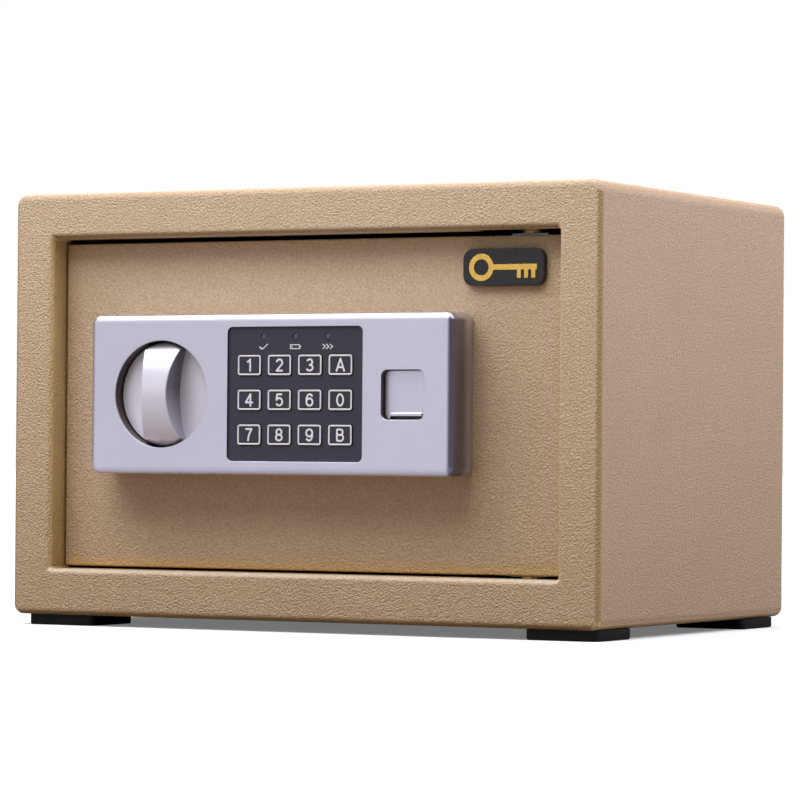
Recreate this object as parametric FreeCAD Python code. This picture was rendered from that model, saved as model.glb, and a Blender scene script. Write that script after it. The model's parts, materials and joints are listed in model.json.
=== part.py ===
"""In-room digital safe, 310 x 210 x 205 mm on its feet, as separate sub-parts for one assembly.

Drawing frame, in millimetres: X to the right as seen from the front, Y towards the rear with 0 on the
front frame's face, Z up with 0 on the floor. export() moves every part so that the origin is the centre
of the whole object's footprint.

At rest the door is shut, the lock bolts are drawn in and the solenoid plunger is drawn up.
"""

import FreeCAD, Part
import math
import os

from FreeCAD import Vector

# ---------------------------------------------------------------- cabinet
BODY_W = 310.0
BODY_D = 210.0
BODY_H = 200.0
WALL = 2.0
FOOT_H = 5.0
BODY_Z0 = FOOT_H
BODY_Z1 = FOOT_H + BODY_H
HALF_W = BODY_W / 2
R_TOP = 5.5
R_BOTTOM = 4.5
R_FRONT = 3.0
R_REAR = 4.0

OPENING_HALF_W = 134.0
OPENING_Z0 = 27.0
OPENING_Z1 = 183.6
OPENING_CORNER_R = 1.0
JAMB_DEPTH = 16.3
REAR_FLANGE = 14.0

FOOT_SIZE = 36.0
FOOT_R = 2.5
FOOT_LEFT_X = -147.4
FOOT_RIGHT_X = 153.0 - FOOT_SIZE
FOOT_FRONT_Y = 3.0
FOOT_REAR_Y = 165.0

ANCHOR_HALF_SPACING = 70.0
ANCHOR_R = 6.0
REAR_ANCHOR_Z = 105.0
FLOOR_ANCHOR_Y = 130.0

# ---------------------------------------------------------------- door
DOOR_SET_BACK = 12.0
DOOR_T = 4.0
DOOR_X0, DOOR_X1 = -133.0, 132.0
DOOR_Z0, DOOR_Z1 = 28.2, 181.4
DOOR_BACK = DOOR_SET_BACK + DOOR_T
DOOR_CORNER_R = 1.8

HINGE_X = 112.0
HINGE_Y = 20.0
HINGE_PIN_R = 3.0
HINGE_BORE_R = 3.06
BRACKET_TOP, BRACKET_BOTTOM, BRACKET_T = 184.5, 25.5, 3.0
LEAF_TOP, LEAF_BOTTOM, LEAF_T = 182.4, 27.8, 3.0

CHASSIS_X0, CHASSIS_X1 = -127.0, 100.0
CHASSIS_Z0, CHASSIS_Z1 = 36.0, 174.0
CHASSIS_T = 1.5
CHASSIS_BACK = 46.0
COVER_T = 1.2
COVER_BACK = CHASSIS_BACK + COVER_T

# ---------------------------------------------------------------- control panel
PANEL_T = 20.0
PANEL_FACE = DOOR_SET_BACK - PANEL_T
PANEL_X0, PANEL_X1 = -107.0, 85.5
PANEL_ZC = 109.6
PANEL_H = 74.5
PANEL_Z0, PANEL_Z1 = PANEL_ZC - PANEL_H / 2, PANEL_ZC + PANEL_H / 2
PANEL_WALL = 2.0
PANEL_CORNER_R = 4.5
PANEL_EDGE_R = 3.5

KNOB_X = -67.8
KNOB_Z = PANEL_ZC
WELL_R = 25.0
WELL_FLOOR = 3.0
KNOB_R = 24.4
KNOB_DISC_FACE = PANEL_FACE + 6.0
KNOB_CROWN = PANEL_FACE - 6.5
GRIP_END_RISE = 1.6
GRIP_END_SLOPE = 0.32
GRIP_WAIST = 6.8
SPINDLE_R = 4.0
BUSH_BACK = DOOR_BACK + 1.4
CRANK_Y0 = BUSH_BACK + 1.1

FASCIA_XC = 3.8
FASCIA_W, FASCIA_H = 71.2, 62.0
FASCIA_FACE = PANEL_FACE + 0.9
FASCIA_T = 1.6
KEY_PITCH = 16.0
KEY_W, KEY_H = 12.4, 9.5
KEY_PROUD = 0.6
KEY_GAP = 0.25
KEY_FOOT = FASCIA_FACE + FASCIA_T + 0.1
MAT_FACE = KEY_FOOT + 2.4
MAT_T = 0.9
BOARD_FACE = MAT_FACE + MAT_T + 0.1
BOARD_T = 1.6
BOARD_BACK = BOARD_FACE + BOARD_T
KEY_ROW_Z = PANEL_ZC - 2.7
KEY_NAMES = (("1", "2", "3", "a"), ("4", "5", "6", "0"), ("7", "8", "9", "b"))
LED_PITCH = 16.85
LED_Z = PANEL_ZC + 26.2
LED_R = 1.5

LOCK_X, LOCK_Z = 60.0, 109.3
COVER_W, COVER_H = 22.0, 22.7
COVER_CORNER_R = 3.0
COVER_SINK = 3.5

BADGE_XC, BADGE_ZC = 102.0, 167.0
BADGE_W, BADGE_H, BADGE_T = 41.0, 17.0, 3.0

# ---------------------------------------------------------------- lock work
BOLT_R = 8.0
BOLT_Y = 33.0
BOLT_HALF_SPACING = 35.0
BOLT_TIP_X = -128.5
THROW = 18.0
CARRIER_Y0 = 21.5
CARRIER_T = 2.5
CARRIER_Y1 = CARRIER_Y0 + CARRIER_T
CARRIER_X0 = -95.0
CRANK_R = THROW / math.sqrt(2)
CRANK_PIN_R = 3.0
SLOT_HALF_W = 3.6
STUD_R = 3.0
STUDS = ((-76.0, 146.0), (-76.0, 73.0), (10.0, 107.0))

PLUNGER_X, PLUNGER_Y = 34.0, 35.0
PLUNGER_R = 4.0
PLUNGER_TIP_Z = 123.0
COLLAR_Z0, COLLAR_Z1 = 129.0, 131.0
COLLAR_R = 9.0
YOKE_Z0, YOKE_Z1 = 141.0, 171.0
CATCH_TOP = 122.0
CAM_TIP_L = 26.0
CAM_REST_ANGLE = -51.5
CAM_Y0, CAM_Y1 = 40.0, 42.0

HOLDER_X0, HOLDER_X1 = -32.0, 31.0
HOLDER_Z0, HOLDER_Z1 = 39.0, 99.0
HOLDER_Y0 = 28.0
CELL_R = 7.2
CELL_PITCH = 15.0
CELL_LENGTH = 49.0
CELL_Y = 37.5

RESET_X, RESET_Z = 76.0, 150.0
CABLE_X, CABLE_Z = -2.0, 140.0
SOCKET_BACK = BOARD_BACK + 4.5

ROW_SHIFT = Vector(0, -(BODY_D + KNOB_CROWN) / 2, 0)


# ---------------------------------------------------------------- drawing helpers
def box(x0, x1, y0, y1, z0, z1):
    return Part.makeBox(x1 - x0, y1 - y0, z1 - z0, Vector(x0, y0, z0))


def rod_x(y, z, r, x0, x1):
    return Part.makeCylinder(r, x1 - x0, Vector(x0, y, z), Vector(1, 0, 0))


def rod_y(x, z, r, y0, y1):
    return Part.makeCylinder(r, y1 - y0, Vector(x, y0, z), Vector(0, 1, 0))


def rod_z(x, y, r, z0, z1):
    return Part.makeCylinder(r, z1 - z0, Vector(x, y, z0), Vector(0, 0, 1))


def joined(*shapes):
    whole = shapes[0]
    for shape in shapes[1:]:
        whole = whole.fuse(shape)
    return whole.removeSplitter()


def without(shape, *cutters):
    for cutter in cutters:
        shape = shape.cut(cutter)
    return shape


def edges_where(shape, test):
    """The edges whose both ends and middle all pass the test."""
    found = []
    for edge in shape.Edges:
        middle = edge.valueAt((edge.FirstParameter + edge.LastParameter) / 2)
        points = [v.Point for v in edge.Vertexes] + [middle]
        if all(test(p) for p in points):
            found.append(edge)
    return found


def near(a, b):
    return abs(a - b) < 1e-4


def along_y(shape, x=None, z=None):
    """Straight edges parallel to Y, at the given x and z if they are stated."""
    found = []
    for edge in shape.Edges:
        if len(edge.Vertexes) != 2:
            continue
        a, b = (v.Point for v in edge.Vertexes)
        straight = near(a.x, b.x) and near(a.z, b.z)
        if straight and (x is None or near(a.x, x)) and (z is None or near(a.z, z)):
            found.append(edge)
    return found


def slab(x0, x1, z0, z1, y0, y1, r=0.0, front_r=0.0):
    """A plate facing the front, with round corners and, if asked, a round front edge."""
    plate = box(x0, x1, y0, y1, z0, z1)
    if r:
        plate = plate.makeFillet(r, along_y(plate))
    if front_r:
        plate = plate.makeFillet(front_r, edges_where(plate, lambda p: near(p.y, y0)))
    return plate


def slot_along_x(x0, x1, z, r, y0, y1):
    """A slot with round ends, whose ends are centred on x0 and x1."""
    return joined(rod_y(x0, z, r, y0, y1), box(x0, x1, y0, y1, z - r, z + r), rod_y(x1, z, r, y0, y1))


def hexagon_y(x, z, across_flats, y0, y1):
    radius = across_flats / math.sqrt(3)
    corners = []
    for i in range(7):
        angle = math.radians(60 * i)
        corners.append(Vector(x + radius * math.cos(angle), y0, z + radius * math.sin(angle)))
    return Part.Face(Part.makePolygon(corners)).extrude(Vector(0, y1 - y0, 0))


def pan_screw_y(x, z, shank_r, head_r, seat, tip, head_t):
    """A pan-head screw along Y. Its head sits on the seat and its shank runs to the tip."""
    step = math.copysign(1.0, tip - seat)
    head_y = seat - step * head_t
    head = rod_y(x, z, head_r, min(seat, head_y), max(seat, head_y))
    outer = edges_where(head, lambda p: near(p.y, head_y))
    head = head.makeFillet(head_t * 0.5, outer)
    shank = rod_y(x, z, shank_r, min(seat, tip), max(seat, tip))
    recess_depth = head_t * 0.6
    a, b = sorted((head_y, head_y + step * recess_depth))
    arm, width = head_r * 0.55, head_r * 0.14
    cross = joined(
        box(x - arm, x + arm, a, b, z - width, z + width),
        box(x - width, x + width, a, b, z - arm, z + arm),
    )
    return without(joined(head, shank), cross)


def cable(points, r):
    """A round flexible cable through the given points."""
    curve = Part.BSplineCurve()
    curve.interpolate([Vector(*p) for p in points])
    path = Part.Wire(curve.toShape())
    start, direction = path.Edges[0].valueAt(curve.FirstParameter), curve.tangent(curve.FirstParameter)[0]
    ring = Part.Wire(Part.makeCircle(r, start, direction))
    return path.makePipeShell([ring], True, True)


# ---------------------------------------------------------------- cabinet parts
def rounded_case(inset, reach_front, reach_rear):
    """The cabinet's outline, drawn in by inset on every side, with every edge round."""
    x = HALF_W - inset
    z0, z1 = BODY_Z0 + inset, BODY_Z1 - inset
    case = box(-x, x, reach_front, reach_rear, z0, z1)
    case = case.makeFillet(R_TOP - inset, along_y(case, z=z1))
    case = case.makeFillet(R_BOTTOM - inset, along_y(case, z=z0))
    case = case.makeFillet(R_FRONT - inset, edges_where(case, lambda p: near(p.y, reach_front)))
    return case.makeFillet(R_REAR - inset, edges_where(case, lambda p: near(p.y, reach_rear)))


def body_shell():
    """Sheet wrap, front frame, jamb and rear flange, welded and ground into one piece."""
    outer = rounded_case(0.0, 0.0, BODY_D)
    inner = rounded_case(WALL, WALL, BODY_D - WALL)
    shell = outer.cut(inner)
    w, z0, z1 = OPENING_HALF_W, OPENING_Z0, OPENING_Z1
    jamb = box(-w - WALL, w + WALL, WALL / 2, JAMB_DEPTH, z0 - WALL, z1 + WALL)
    opening = slab(-w, w, z0, z1, -1.0, JAMB_DEPTH + 1.0, OPENING_CORNER_R)
    shell = joined(shell, jamb).cut(opening)
    rim = edges_where(shell, lambda p: near(p.y, 0.0) and abs(p.x) < w + 0.1 and z0 - 0.1 < p.z < z1 + 0.1)
    shell = shell.makeFillet(R_FRONT - 0.2, rim)
    rear_half_w = HALF_W - REAR_FLANGE
    rear = slab(
        -rear_half_w, rear_half_w, BODY_Z0 + REAR_FLANGE, BODY_Z1 - REAR_FLANGE,
        BODY_D - WALL - 1, BODY_D + 1, 4.0,
    )
    hinge_gaps = [
        box(88.0, w, 6.0, JAMB_DEPTH + 1, z1 - 1, z1 + WALL + 1),
        box(88.0, w, 9.5, JAMB_DEPTH + 1, z0 - WALL - 1, z0 + 1),
    ]
    holes = [
        rod_z(side * ANCHOR_HALF_SPACING, FLOOR_ANCHOR_Y, ANCHOR_R, BODY_Z0 - 1, BODY_Z0 + WALL + 1)
        for side in (-1, 1)
    ]
    return without(shell, rear, *hinge_gaps, *holes)


def rear_panel():
    """Flat back plate, welded inside the rear flange, with two wall anchor holes."""
    y1 = BODY_D - WALL
    plate = slab(-149.5, 149.5, 11.0, 199.0, y1 - WALL, y1, 3.0)
    holes = [
        rod_y(side * ANCHOR_HALF_SPACING, REAR_ANCHOR_Z, ANCHOR_R, y1 - WALL - 1, y1 + 1)
        for side in (-1, 1)
    ]
    return without(plate, *holes)


def bolt_keeper():
    """Angle strip behind the left jamb, with a hole for each lock bolt and two tabs that stop the door."""
    face_x = -OPENING_HALF_W - WALL
    strip = box(face_x - WALL, face_x, 6.0, 46.0, 48.0, 170.0)
    leg = box(-HALF_W + WALL, face_x, 44.0, 46.0, 48.0, 170.0)
    stops = [
        box(face_x - WALL, DOOR_X0 + 1.8, JAMB_DEPTH, JAMB_DEPTH + WALL, z, z + 12.0)
        for z in (50.0, 156.0)
    ]
    holes = [rod_x(BOLT_Y, z, BOLT_R + 1.0, face_x - 5, face_x + 1) for z in bolt_heights()]
    return without(joined(strip, leg, *stops), *holes)


def hinge_bracket(z_inner, z_outer, z_wall):
    """Body-side pivot plate with its bore, and the leg that welds it to the roof or the floor."""
    x0, x1, leg_t = 98.0, 133.0, 3.0
    y0, y1 = 10.0, 34.0
    tab = slab_flat(x0, x1, y0, y1, min(z_inner, z_outer), max(z_inner, z_outer), 3.0)
    leg = box(x0, x1, y1 - leg_t, y1, min(z_inner, z_wall), max(z_inner, z_wall))
    bore = rod_z(HINGE_X, HINGE_Y, HINGE_BORE_R, min(z_inner, z_outer) - 1, max(z_inner, z_outer) + 1)
    return joined(tab, leg).cut(bore)


def slab_flat(x0, x1, y0, y1, z0, z1, r):
    """A level plate whose two front corners are round."""
    plate = box(x0, x1, y0, y1, z0, z1)
    front_corners = edges_where(plate, lambda p: near(p.y, y0) and (near(p.x, x0) or near(p.x, x1)))
    return plate.makeFillet(r, front_corners)


def hinge_bracket_top():
    return hinge_bracket(BRACKET_TOP, BRACKET_TOP + BRACKET_T, BODY_Z1 - WALL)


def hinge_bracket_bottom():
    return hinge_bracket(BRACKET_BOTTOM, BRACKET_BOTTOM - BRACKET_T, BODY_Z0 + WALL)


def floor_mat():
    """Felt lining on the floor, with a hole over each anchor."""
    z0 = BODY_Z0 + WALL
    half_w, y0, y1 = 148.0, 48.0, 203.0
    mat = box(-half_w, half_w, y0, y1, z0, z0 + 2.0)
    corners = edges_where(mat, lambda p: near(abs(p.x), half_w) and (near(p.y, y0) or near(p.y, y1)))
    mat = mat.makeFillet(5.0, corners)
    holes = [
        rod_z(side * ANCHOR_HALF_SPACING, FLOOR_ANCHOR_Y, 11.0, z0 - 1, z0 + 3)
        for side in (-1, 1)
    ]
    return without(mat, *holes)


def rubber_feet():
    feet = []
    for x in (FOOT_LEFT_X, FOOT_RIGHT_X):
        for y in (FOOT_FRONT_Y, FOOT_REAR_Y):
            foot = box(x, x + FOOT_SIZE, y, y + FOOT_SIZE, 0.0, FOOT_H)
            upright = [edge for edge in foot.Edges if near(edge.Length, FOOT_H)]
            feet.append(foot.makeFillet(FOOT_R, upright))
    return Part.makeCompound(feet)


# ---------------------------------------------------------------- door structure
def panel_screw_places():
    return [(x, z) for x in (-99.0, 79.5) for z in (PANEL_Z0 + 6.0, PANEL_Z1 - 6.0)]


def door_plate():
    plate = slab(DOOR_X0, DOOR_X1, DOOR_Z0, DOOR_Z1, DOOR_SET_BACK, DOOR_BACK, DOOR_CORNER_R, 0.8)
    a, b = DOOR_SET_BACK - 1, DOOR_BACK + 1
    cutters = [
        rod_y(KNOB_X, KNOB_Z, 6.0, a, b),
        rod_y(LOCK_X, LOCK_Z, 9.5, a, b),
        rod_y(CABLE_X, CABLE_Z, 5.0, a, b),
    ]
    cutters += [rod_y(x, z, 2.1, a, b) for x, z in panel_screw_places()]
    return without(plate, *cutters)


def bolt_heights():
    return (KNOB_Z + BOLT_HALF_SPACING, KNOB_Z - BOLT_HALF_SPACING)


def cover_screw_places():
    x0, x1 = CHASSIS_X0 + 9, CHASSIS_X1 - 9
    z0, z1 = CHASSIS_Z0 + 9, CHASSIS_Z1 - 9
    return [(x0, z0), (x0, z1), (x1, z0), (x1, z1)]


def lock_chassis():
    """Folded sheet frame welded to the door's back. It guides the bolts and carries the back cover."""
    frame = box(CHASSIS_X0, CHASSIS_X1, DOOR_BACK, CHASSIS_BACK, CHASSIS_Z0, CHASSIS_Z1)
    t = CHASSIS_T
    hollow = box(
        CHASSIS_X0 + t, CHASSIS_X1 - t, DOOR_BACK - 1, CHASSIS_BACK + 1, CHASSIS_Z0 + t, CHASSIS_Z1 - t
    )
    frame = frame.cut(hollow)
    half = 9 - t / 2
    tabs = [
        box(x - half, x + half, CHASSIS_BACK - t, CHASSIS_BACK, z - half, z + half)
        for x, z in cover_screw_places()
    ]
    frame = joined(frame, *tabs)
    holes = [rod_y(x, z, 1.6, CHASSIS_BACK - 3, CHASSIS_BACK + 1) for x, z in cover_screw_places()]
    holes += [rod_x(BOLT_Y, z, BOLT_R + 0.08, CHASSIS_X0 - 1, CHASSIS_X0 + t + 1) for z in bolt_heights()]
    return without(frame, *holes)


def back_cover():
    """Pan that closes the lock work, with the battery hatch, its rails and the reset button's hole."""
    g = 0.15
    lip = 1.2
    pan = slab(
        CHASSIS_X0 - g - lip, CHASSIS_X1 + g + lip, CHASSIS_Z0 - g - lip, CHASSIS_Z1 + g + lip,
        CHASSIS_BACK - 4, COVER_BACK, 2.0,
    )
    rim = edges_where(pan, lambda p: near(p.y, COVER_BACK))
    pan = pan.makeFillet(1.0, rim)
    inside = slab(
        CHASSIS_X0 - g, CHASSIS_X1 + g, CHASSIS_Z0 - g, CHASSIS_Z1 + g, CHASSIS_BACK - 5, CHASSIS_BACK
    )
    hatch = slab(
        HOLDER_X0 + 2, HOLDER_X1 - 2, HOLDER_Z0 + 2, HOLDER_Z1 - 2, CHASSIS_BACK - 1, COVER_BACK + 1, 1.5
    )
    rails = []
    x0, x1 = HOLDER_X0 - 2, HOLDER_X1 + 64
    for z, side in ((HOLDER_Z0 - 1.6, 1), (HOLDER_Z1 + 1.6, -1)):
        foot_z0, foot_z1 = sorted((z, z + side * 1.2))
        lip_z0, lip_z1 = sorted((z, z + side * 3.0))
        rails.append(box(x0, x1, COVER_BACK - 0.2, COVER_BACK + 3.4, foot_z0, foot_z1))
        rails.append(box(x0, x1, COVER_BACK + 2.4, COVER_BACK + 3.4, lip_z0, lip_z1))
    pan = joined(pan.cut(inside), *rails)
    holes = [hatch, rod_y(RESET_X, RESET_Z, 4.2, CHASSIS_BACK - 1, COVER_BACK + 1)]
    holes += [rod_y(x, z, 1.9, CHASSIS_BACK - 1, COVER_BACK + 1) for x, z in cover_screw_places()]
    return without(pan, *holes)


def cover_screws():
    screws = [
        pan_screw_y(x, z, 1.5, 3.2, COVER_BACK, CHASSIS_BACK - 6, 1.8) for x, z in cover_screw_places()
    ]
    return Part.makeCompound(screws)


def hinge_leaf(z_pin, z_far, z_tab):
    """Door-side hinge angle: a leg welded to the door's back and a tab that holds the pin."""
    leg = box(103.0, 121.0, DOOR_BACK, DOOR_BACK + 3.0, min(z_pin, z_far), max(z_pin, z_far))
    tab = box(103.0, 121.0, DOOR_BACK, 30.0, min(z_pin, z_tab), max(z_pin, z_tab))
    rear = edges_where(tab, lambda p: near(p.y, 30.0) and (near(p.x, 103.0) or near(p.x, 121.0)))
    tab = tab.makeFillet(5.0, rear)
    bore = rod_z(HINGE_X, HINGE_Y, HINGE_PIN_R, min(z_pin, z_tab) - 1, max(z_pin, z_tab) + 1)
    return joined(leg, tab).cut(bore)


def hinge_leaf_top():
    return hinge_leaf(LEAF_TOP, 140.0, LEAF_TOP - LEAF_T)


def hinge_leaf_bottom():
    return hinge_leaf(LEAF_BOTTOM, 70.0, LEAF_BOTTOM + LEAF_T)


def hinge_pins():
    tip_z = BRACKET_TOP + BRACKET_T + 1.5
    top = rod_z(HINGE_X, HINGE_Y, HINGE_PIN_R, LEAF_TOP - LEAF_T, tip_z)
    top = top.makeChamfer(0.8, edges_where(top, lambda p: near(p.z, tip_z)))
    low_z = BRACKET_BOTTOM - BRACKET_T - 1.5
    bottom = rod_z(HINGE_X, HINGE_Y, HINGE_PIN_R, low_z, LEAF_BOTTOM + LEAF_T)
    bottom = bottom.makeChamfer(0.8, edges_where(bottom, lambda p: near(p.z, low_z)))
    return Part.makeCompound([top, bottom])


def hinge_washers():
    def washer(z0, z1, r):
        return rod_z(HINGE_X, HINGE_Y, r, z0, z1).cut(rod_z(HINGE_X, HINGE_Y, HINGE_PIN_R, z0 - 1, z1 + 1))

    top = washer(LEAF_TOP, BRACKET_TOP - 0.5, 5.5)
    bottom = washer(BRACKET_BOTTOM + 0.05, LEAF_BOTTOM, 5.5)
    return Part.makeCompound([top, bottom])


# ---------------------------------------------------------------- control panel
def key_places():
    places = {}
    for row, names in enumerate(KEY_NAMES):
        for column, name in enumerate(names):
            x = FASCIA_XC + (column - 1.5) * KEY_PITCH
            z = KEY_ROW_Z + (1 - row) * KEY_PITCH
            places[name] = (x, z)
    return places


def panel_housing():
    """Moulded bezel: a shell with the knob's well, the keypad window and the key cover's pocket."""
    shell = slab(
        PANEL_X0, PANEL_X1, PANEL_Z0, PANEL_Z1, PANEL_FACE, DOOR_SET_BACK,
        PANEL_CORNER_R, PANEL_EDGE_R,
    )
    w = PANEL_WALL
    hollow = slab(
        PANEL_X0 + w, PANEL_X1 - w, PANEL_Z0 + w, PANEL_Z1 - w, PANEL_FACE + w, DOOR_SET_BACK + 1,
        PANEL_CORNER_R - w,
    )
    shell = shell.cut(hollow)
    well = rod_y(KNOB_X, KNOB_Z, WELL_R + w, PANEL_FACE + w / 2, WELL_FLOOR + w)
    half_w, half_h = COVER_W / 2, COVER_H / 2
    pocket_wall = slab(
        LOCK_X - half_w - 1.5, LOCK_X + half_w + 1.5, LOCK_Z - half_h - 1.5, LOCK_Z + half_h + 1.5,
        PANEL_FACE + w / 2, 4.0, COVER_CORNER_R + 1.5,
    )
    bosses = [rod_y(x, z, 4.5, PANEL_FACE + w / 2, DOOR_SET_BACK) for x, z in panel_screw_places()]
    bosses += [rod_y(x, z, 2.4, PANEL_FACE + w / 2, BOARD_FACE) for x, z in board_screw_places()]
    shell = joined(shell, well, pocket_wall, *bosses)
    seat = slab(
        FASCIA_XC - FASCIA_W / 2, FASCIA_XC + FASCIA_W / 2, PANEL_ZC - FASCIA_H / 2, PANEL_ZC + FASCIA_H / 2,
        PANEL_FACE - 1, FASCIA_FACE + FASCIA_T - 0.9, 2.6,
    )
    window = slab(
        FASCIA_XC - FASCIA_W / 2 + 1.4, FASCIA_XC + FASCIA_W / 2 - 1.4,
        PANEL_ZC - FASCIA_H / 2 + 1.4, PANEL_ZC + FASCIA_H / 2 - 1.4, PANEL_FACE - 1, PANEL_FACE + 6, 1.6,
    )
    pocket = slab(
        LOCK_X - half_w, LOCK_X + half_w, LOCK_Z - half_h, LOCK_Z + half_h,
        PANEL_FACE - 1, PANEL_FACE + COVER_SINK + 2.0, COVER_CORNER_R,
    )
    key_way = rod_y(LOCK_X, LOCK_Z, 9.2, PANEL_FACE, 8.0)
    knob_hole = rod_y(KNOB_X, KNOB_Z, WELL_R, PANEL_FACE - 1, WELL_FLOOR)
    hub_hole = rod_y(KNOB_X, KNOB_Z, 8.0, WELL_FLOOR - 1, WELL_FLOOR + w + 1)
    pilot_holes = [rod_y(x, z, 1.2, DOOR_SET_BACK - 8.5, DOOR_SET_BACK + 1) for x, z in panel_screw_places()]
    pilot_holes += [rod_y(x, z, 1.1, BOARD_FACE - 3.6, BOARD_FACE + 1) for x, z in board_screw_places()]
    return without(shell, seat, window, pocket, key_way, knob_hole, hub_hole, *pilot_holes)


def keypad_fascia():
    """Dark plate set in the housing, with a window for each key and each lamp."""
    y1 = FASCIA_FACE + FASCIA_T - 0.9
    g = 0.1
    plate = slab(
        FASCIA_XC - FASCIA_W / 2 + g, FASCIA_XC + FASCIA_W / 2 - g,
        PANEL_ZC - FASCIA_H / 2 + g, PANEL_ZC + FASCIA_H / 2 - g, FASCIA_FACE, y1, 2.5,
    )
    step = slab(
        FASCIA_XC - FASCIA_W / 2 + 1.6, FASCIA_XC + FASCIA_W / 2 - 1.6,
        PANEL_ZC - FASCIA_H / 2 + 1.6, PANEL_ZC + FASCIA_H / 2 - 1.6, y1 - 0.2, FASCIA_FACE + FASCIA_T, 1.4,
    )
    plate = joined(plate, step)
    w, h = KEY_W / 2 + KEY_GAP, KEY_H / 2 + KEY_GAP
    a, b = FASCIA_FACE - 1, FASCIA_FACE + FASCIA_T + 1
    cutters = [slab(x - w, x + w, z - h, z + h, a, b, 1.4) for x, z in key_places().values()]
    cutters += [rod_y(x, LED_Z, LED_R + 0.05, a, b) for x in led_places()]
    return without(plate, *cutters)


def led_places():
    return [FASCIA_XC + i * LED_PITCH for i in (-1, 0, 1)]


def key_cap(x, z):
    """One push key with a wide foot behind the fascia, so that it can't fall out."""
    face, foot = FASCIA_FACE - KEY_PROUD, KEY_FOOT
    top = slab(x - KEY_W / 2, x + KEY_W / 2, z - KEY_H / 2, z + KEY_H / 2, face, foot + 0.2, 1.2, 0.25)
    half_w, half_h = KEY_W / 2 + 0.7, KEY_H / 2 + 0.7
    flange = slab(x - half_w, x + half_w, z - half_h, z + half_h, foot, foot + 1.0, 1.5)
    return joined(top, flange)


def keypad_mat():
    """Silicone sheet with a dome behind each key. A key meets its dome at the end of its travel."""
    sheet = slab(
        FASCIA_XC - 32, FASCIA_XC + 32, PANEL_ZC - 28, PANEL_ZC + 22, MAT_FACE, MAT_FACE + MAT_T, 1.0
    )
    height = 0.6
    domes = []
    for x, z in key_places().values():
        start = Vector(x, MAT_FACE - height, z)
        domes.append(Part.makeCone(2.6, 4.2, height + MAT_T / 2, start, Vector(0, 1, 0)))
    return joined(sheet, *domes)


def board_screw_places():
    return [(FASCIA_XC + i * 38.2, PANEL_ZC + k * 24.0) for i in (-1, 1) for k in (-1, 1)]


def control_board():
    """Keypad circuit board, with its controller chip, buzzer and plug socket on the back."""
    board = slab(
        FASCIA_XC - 41, FASCIA_XC + 41, PANEL_ZC - 29, PANEL_ZC + 29.5, BOARD_FACE, BOARD_BACK, 2.0
    )
    holes = [rod_y(x, z, 1.3, BOARD_FACE - 1, BOARD_BACK + 1) for x, z in board_screw_places()]
    board = without(board, *holes)
    chip = box(-16.0, 0.0, BOARD_BACK, BOARD_BACK + 1.9, 100.0, 108.0)
    buzzer = rod_y(22.0, 96.0, 6.0, BOARD_BACK, BOARD_BACK + 5.5)
    socket = box(CABLE_X - 6.0, CABLE_X + 6.0, BOARD_BACK, SOCKET_BACK, CABLE_Z - 7.0, CABLE_Z - 2.0)
    return Part.makeCompound([board, chip, buzzer, socket])


def board_screws():
    screws = [
        pan_screw_y(x, z, 1.1, 2.3, BOARD_BACK, BOARD_FACE - 3.5, 1.4) for x, z in board_screw_places()
    ]
    return Part.makeCompound(screws)


def indicator_leds():
    """Three lamps that stand on the board and show through the fascia."""
    y0, y1 = FASCIA_FACE + 0.1, BOARD_FACE
    lamps = []
    for x in led_places():
        lens = rod_y(x, LED_Z, LED_R, y0, y1)
        lens = lens.makeFillet(0.6, edges_where(lens, lambda p: near(p.y, y0)))
        lamps.append(lens)
    return Part.makeCompound(lamps)


def panel_screws():
    screws = [pan_screw_y(x, z, 1.2, 3.4, DOOR_BACK, DOOR_SET_BACK - 8, 2.0) for x, z in panel_screw_places()]
    return Part.makeCompound(screws)


def key_cover():
    """Snap-in cap over the emergency key lock, with a nail slot and a raised lip along its bottom edge."""
    g = 0.2
    y0 = PANEL_FACE + COVER_SINK
    half_w, half_h = COVER_W / 2 - g, COVER_H / 2 - g
    bottom = LOCK_Z - half_h
    cap = slab(
        LOCK_X - half_w, LOCK_X + half_w, bottom, LOCK_Z + half_h, y0, y0 + 1.9, COVER_CORNER_R - g, 0.3
    )
    lip = slab(LOCK_X - 8.0, LOCK_X + 8.5, bottom + 1.4, bottom + 3.0, y0 - 0.9, y0 + 0.5, 0.6, 0.4)
    clips = [
        box(LOCK_X - 3, LOCK_X + 3, y0 + 1.8, y0 + 5.5, LOCK_Z + rise - 0.6, LOCK_Z + rise + 0.6)
        for rise in (-8, 8)
    ]
    nick = slab(LOCK_X - 8.0, LOCK_X + 8.5, bottom - 1, bottom + 1.4, y0 - 1, y0 + 2.5, 0.6)
    return without(joined(cap, lip, *clips), nick)


def badge_plate():
    x, z = BADGE_XC, BADGE_ZC
    plate = slab(
        x - BADGE_W / 2, x + BADGE_W / 2, z - BADGE_H / 2, z + BADGE_H / 2,
        DOOR_SET_BACK - BADGE_T, DOOR_SET_BACK, 5.0, 0.5,
    )
    return plate


def badge_emblem():
    """Raised bold outline of a plain key."""
    y0, y1 = DOOR_SET_BACK - BADGE_T - 0.4, DOOR_SET_BACK - BADGE_T
    x, z = BADGE_XC, BADGE_ZC
    line = 2.5
    bow_x, bow_r = x - 11.0, 6.2
    bow = rod_y(bow_x, z, bow_r, y0, y1).cut(rod_y(bow_x, z, bow_r - line, y0, y1))
    shaft = box(bow_x + bow_r - 0.5, x + 17.0, y0, y1, z - line / 2, z + line / 2)
    teeth = [box(x + tx, x + tx + 2.0, y0, y1, z - 5.0, z) for tx in (7.0, 10.6, 14.2)]
    return joined(bow, shaft, *teeth)


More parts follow.
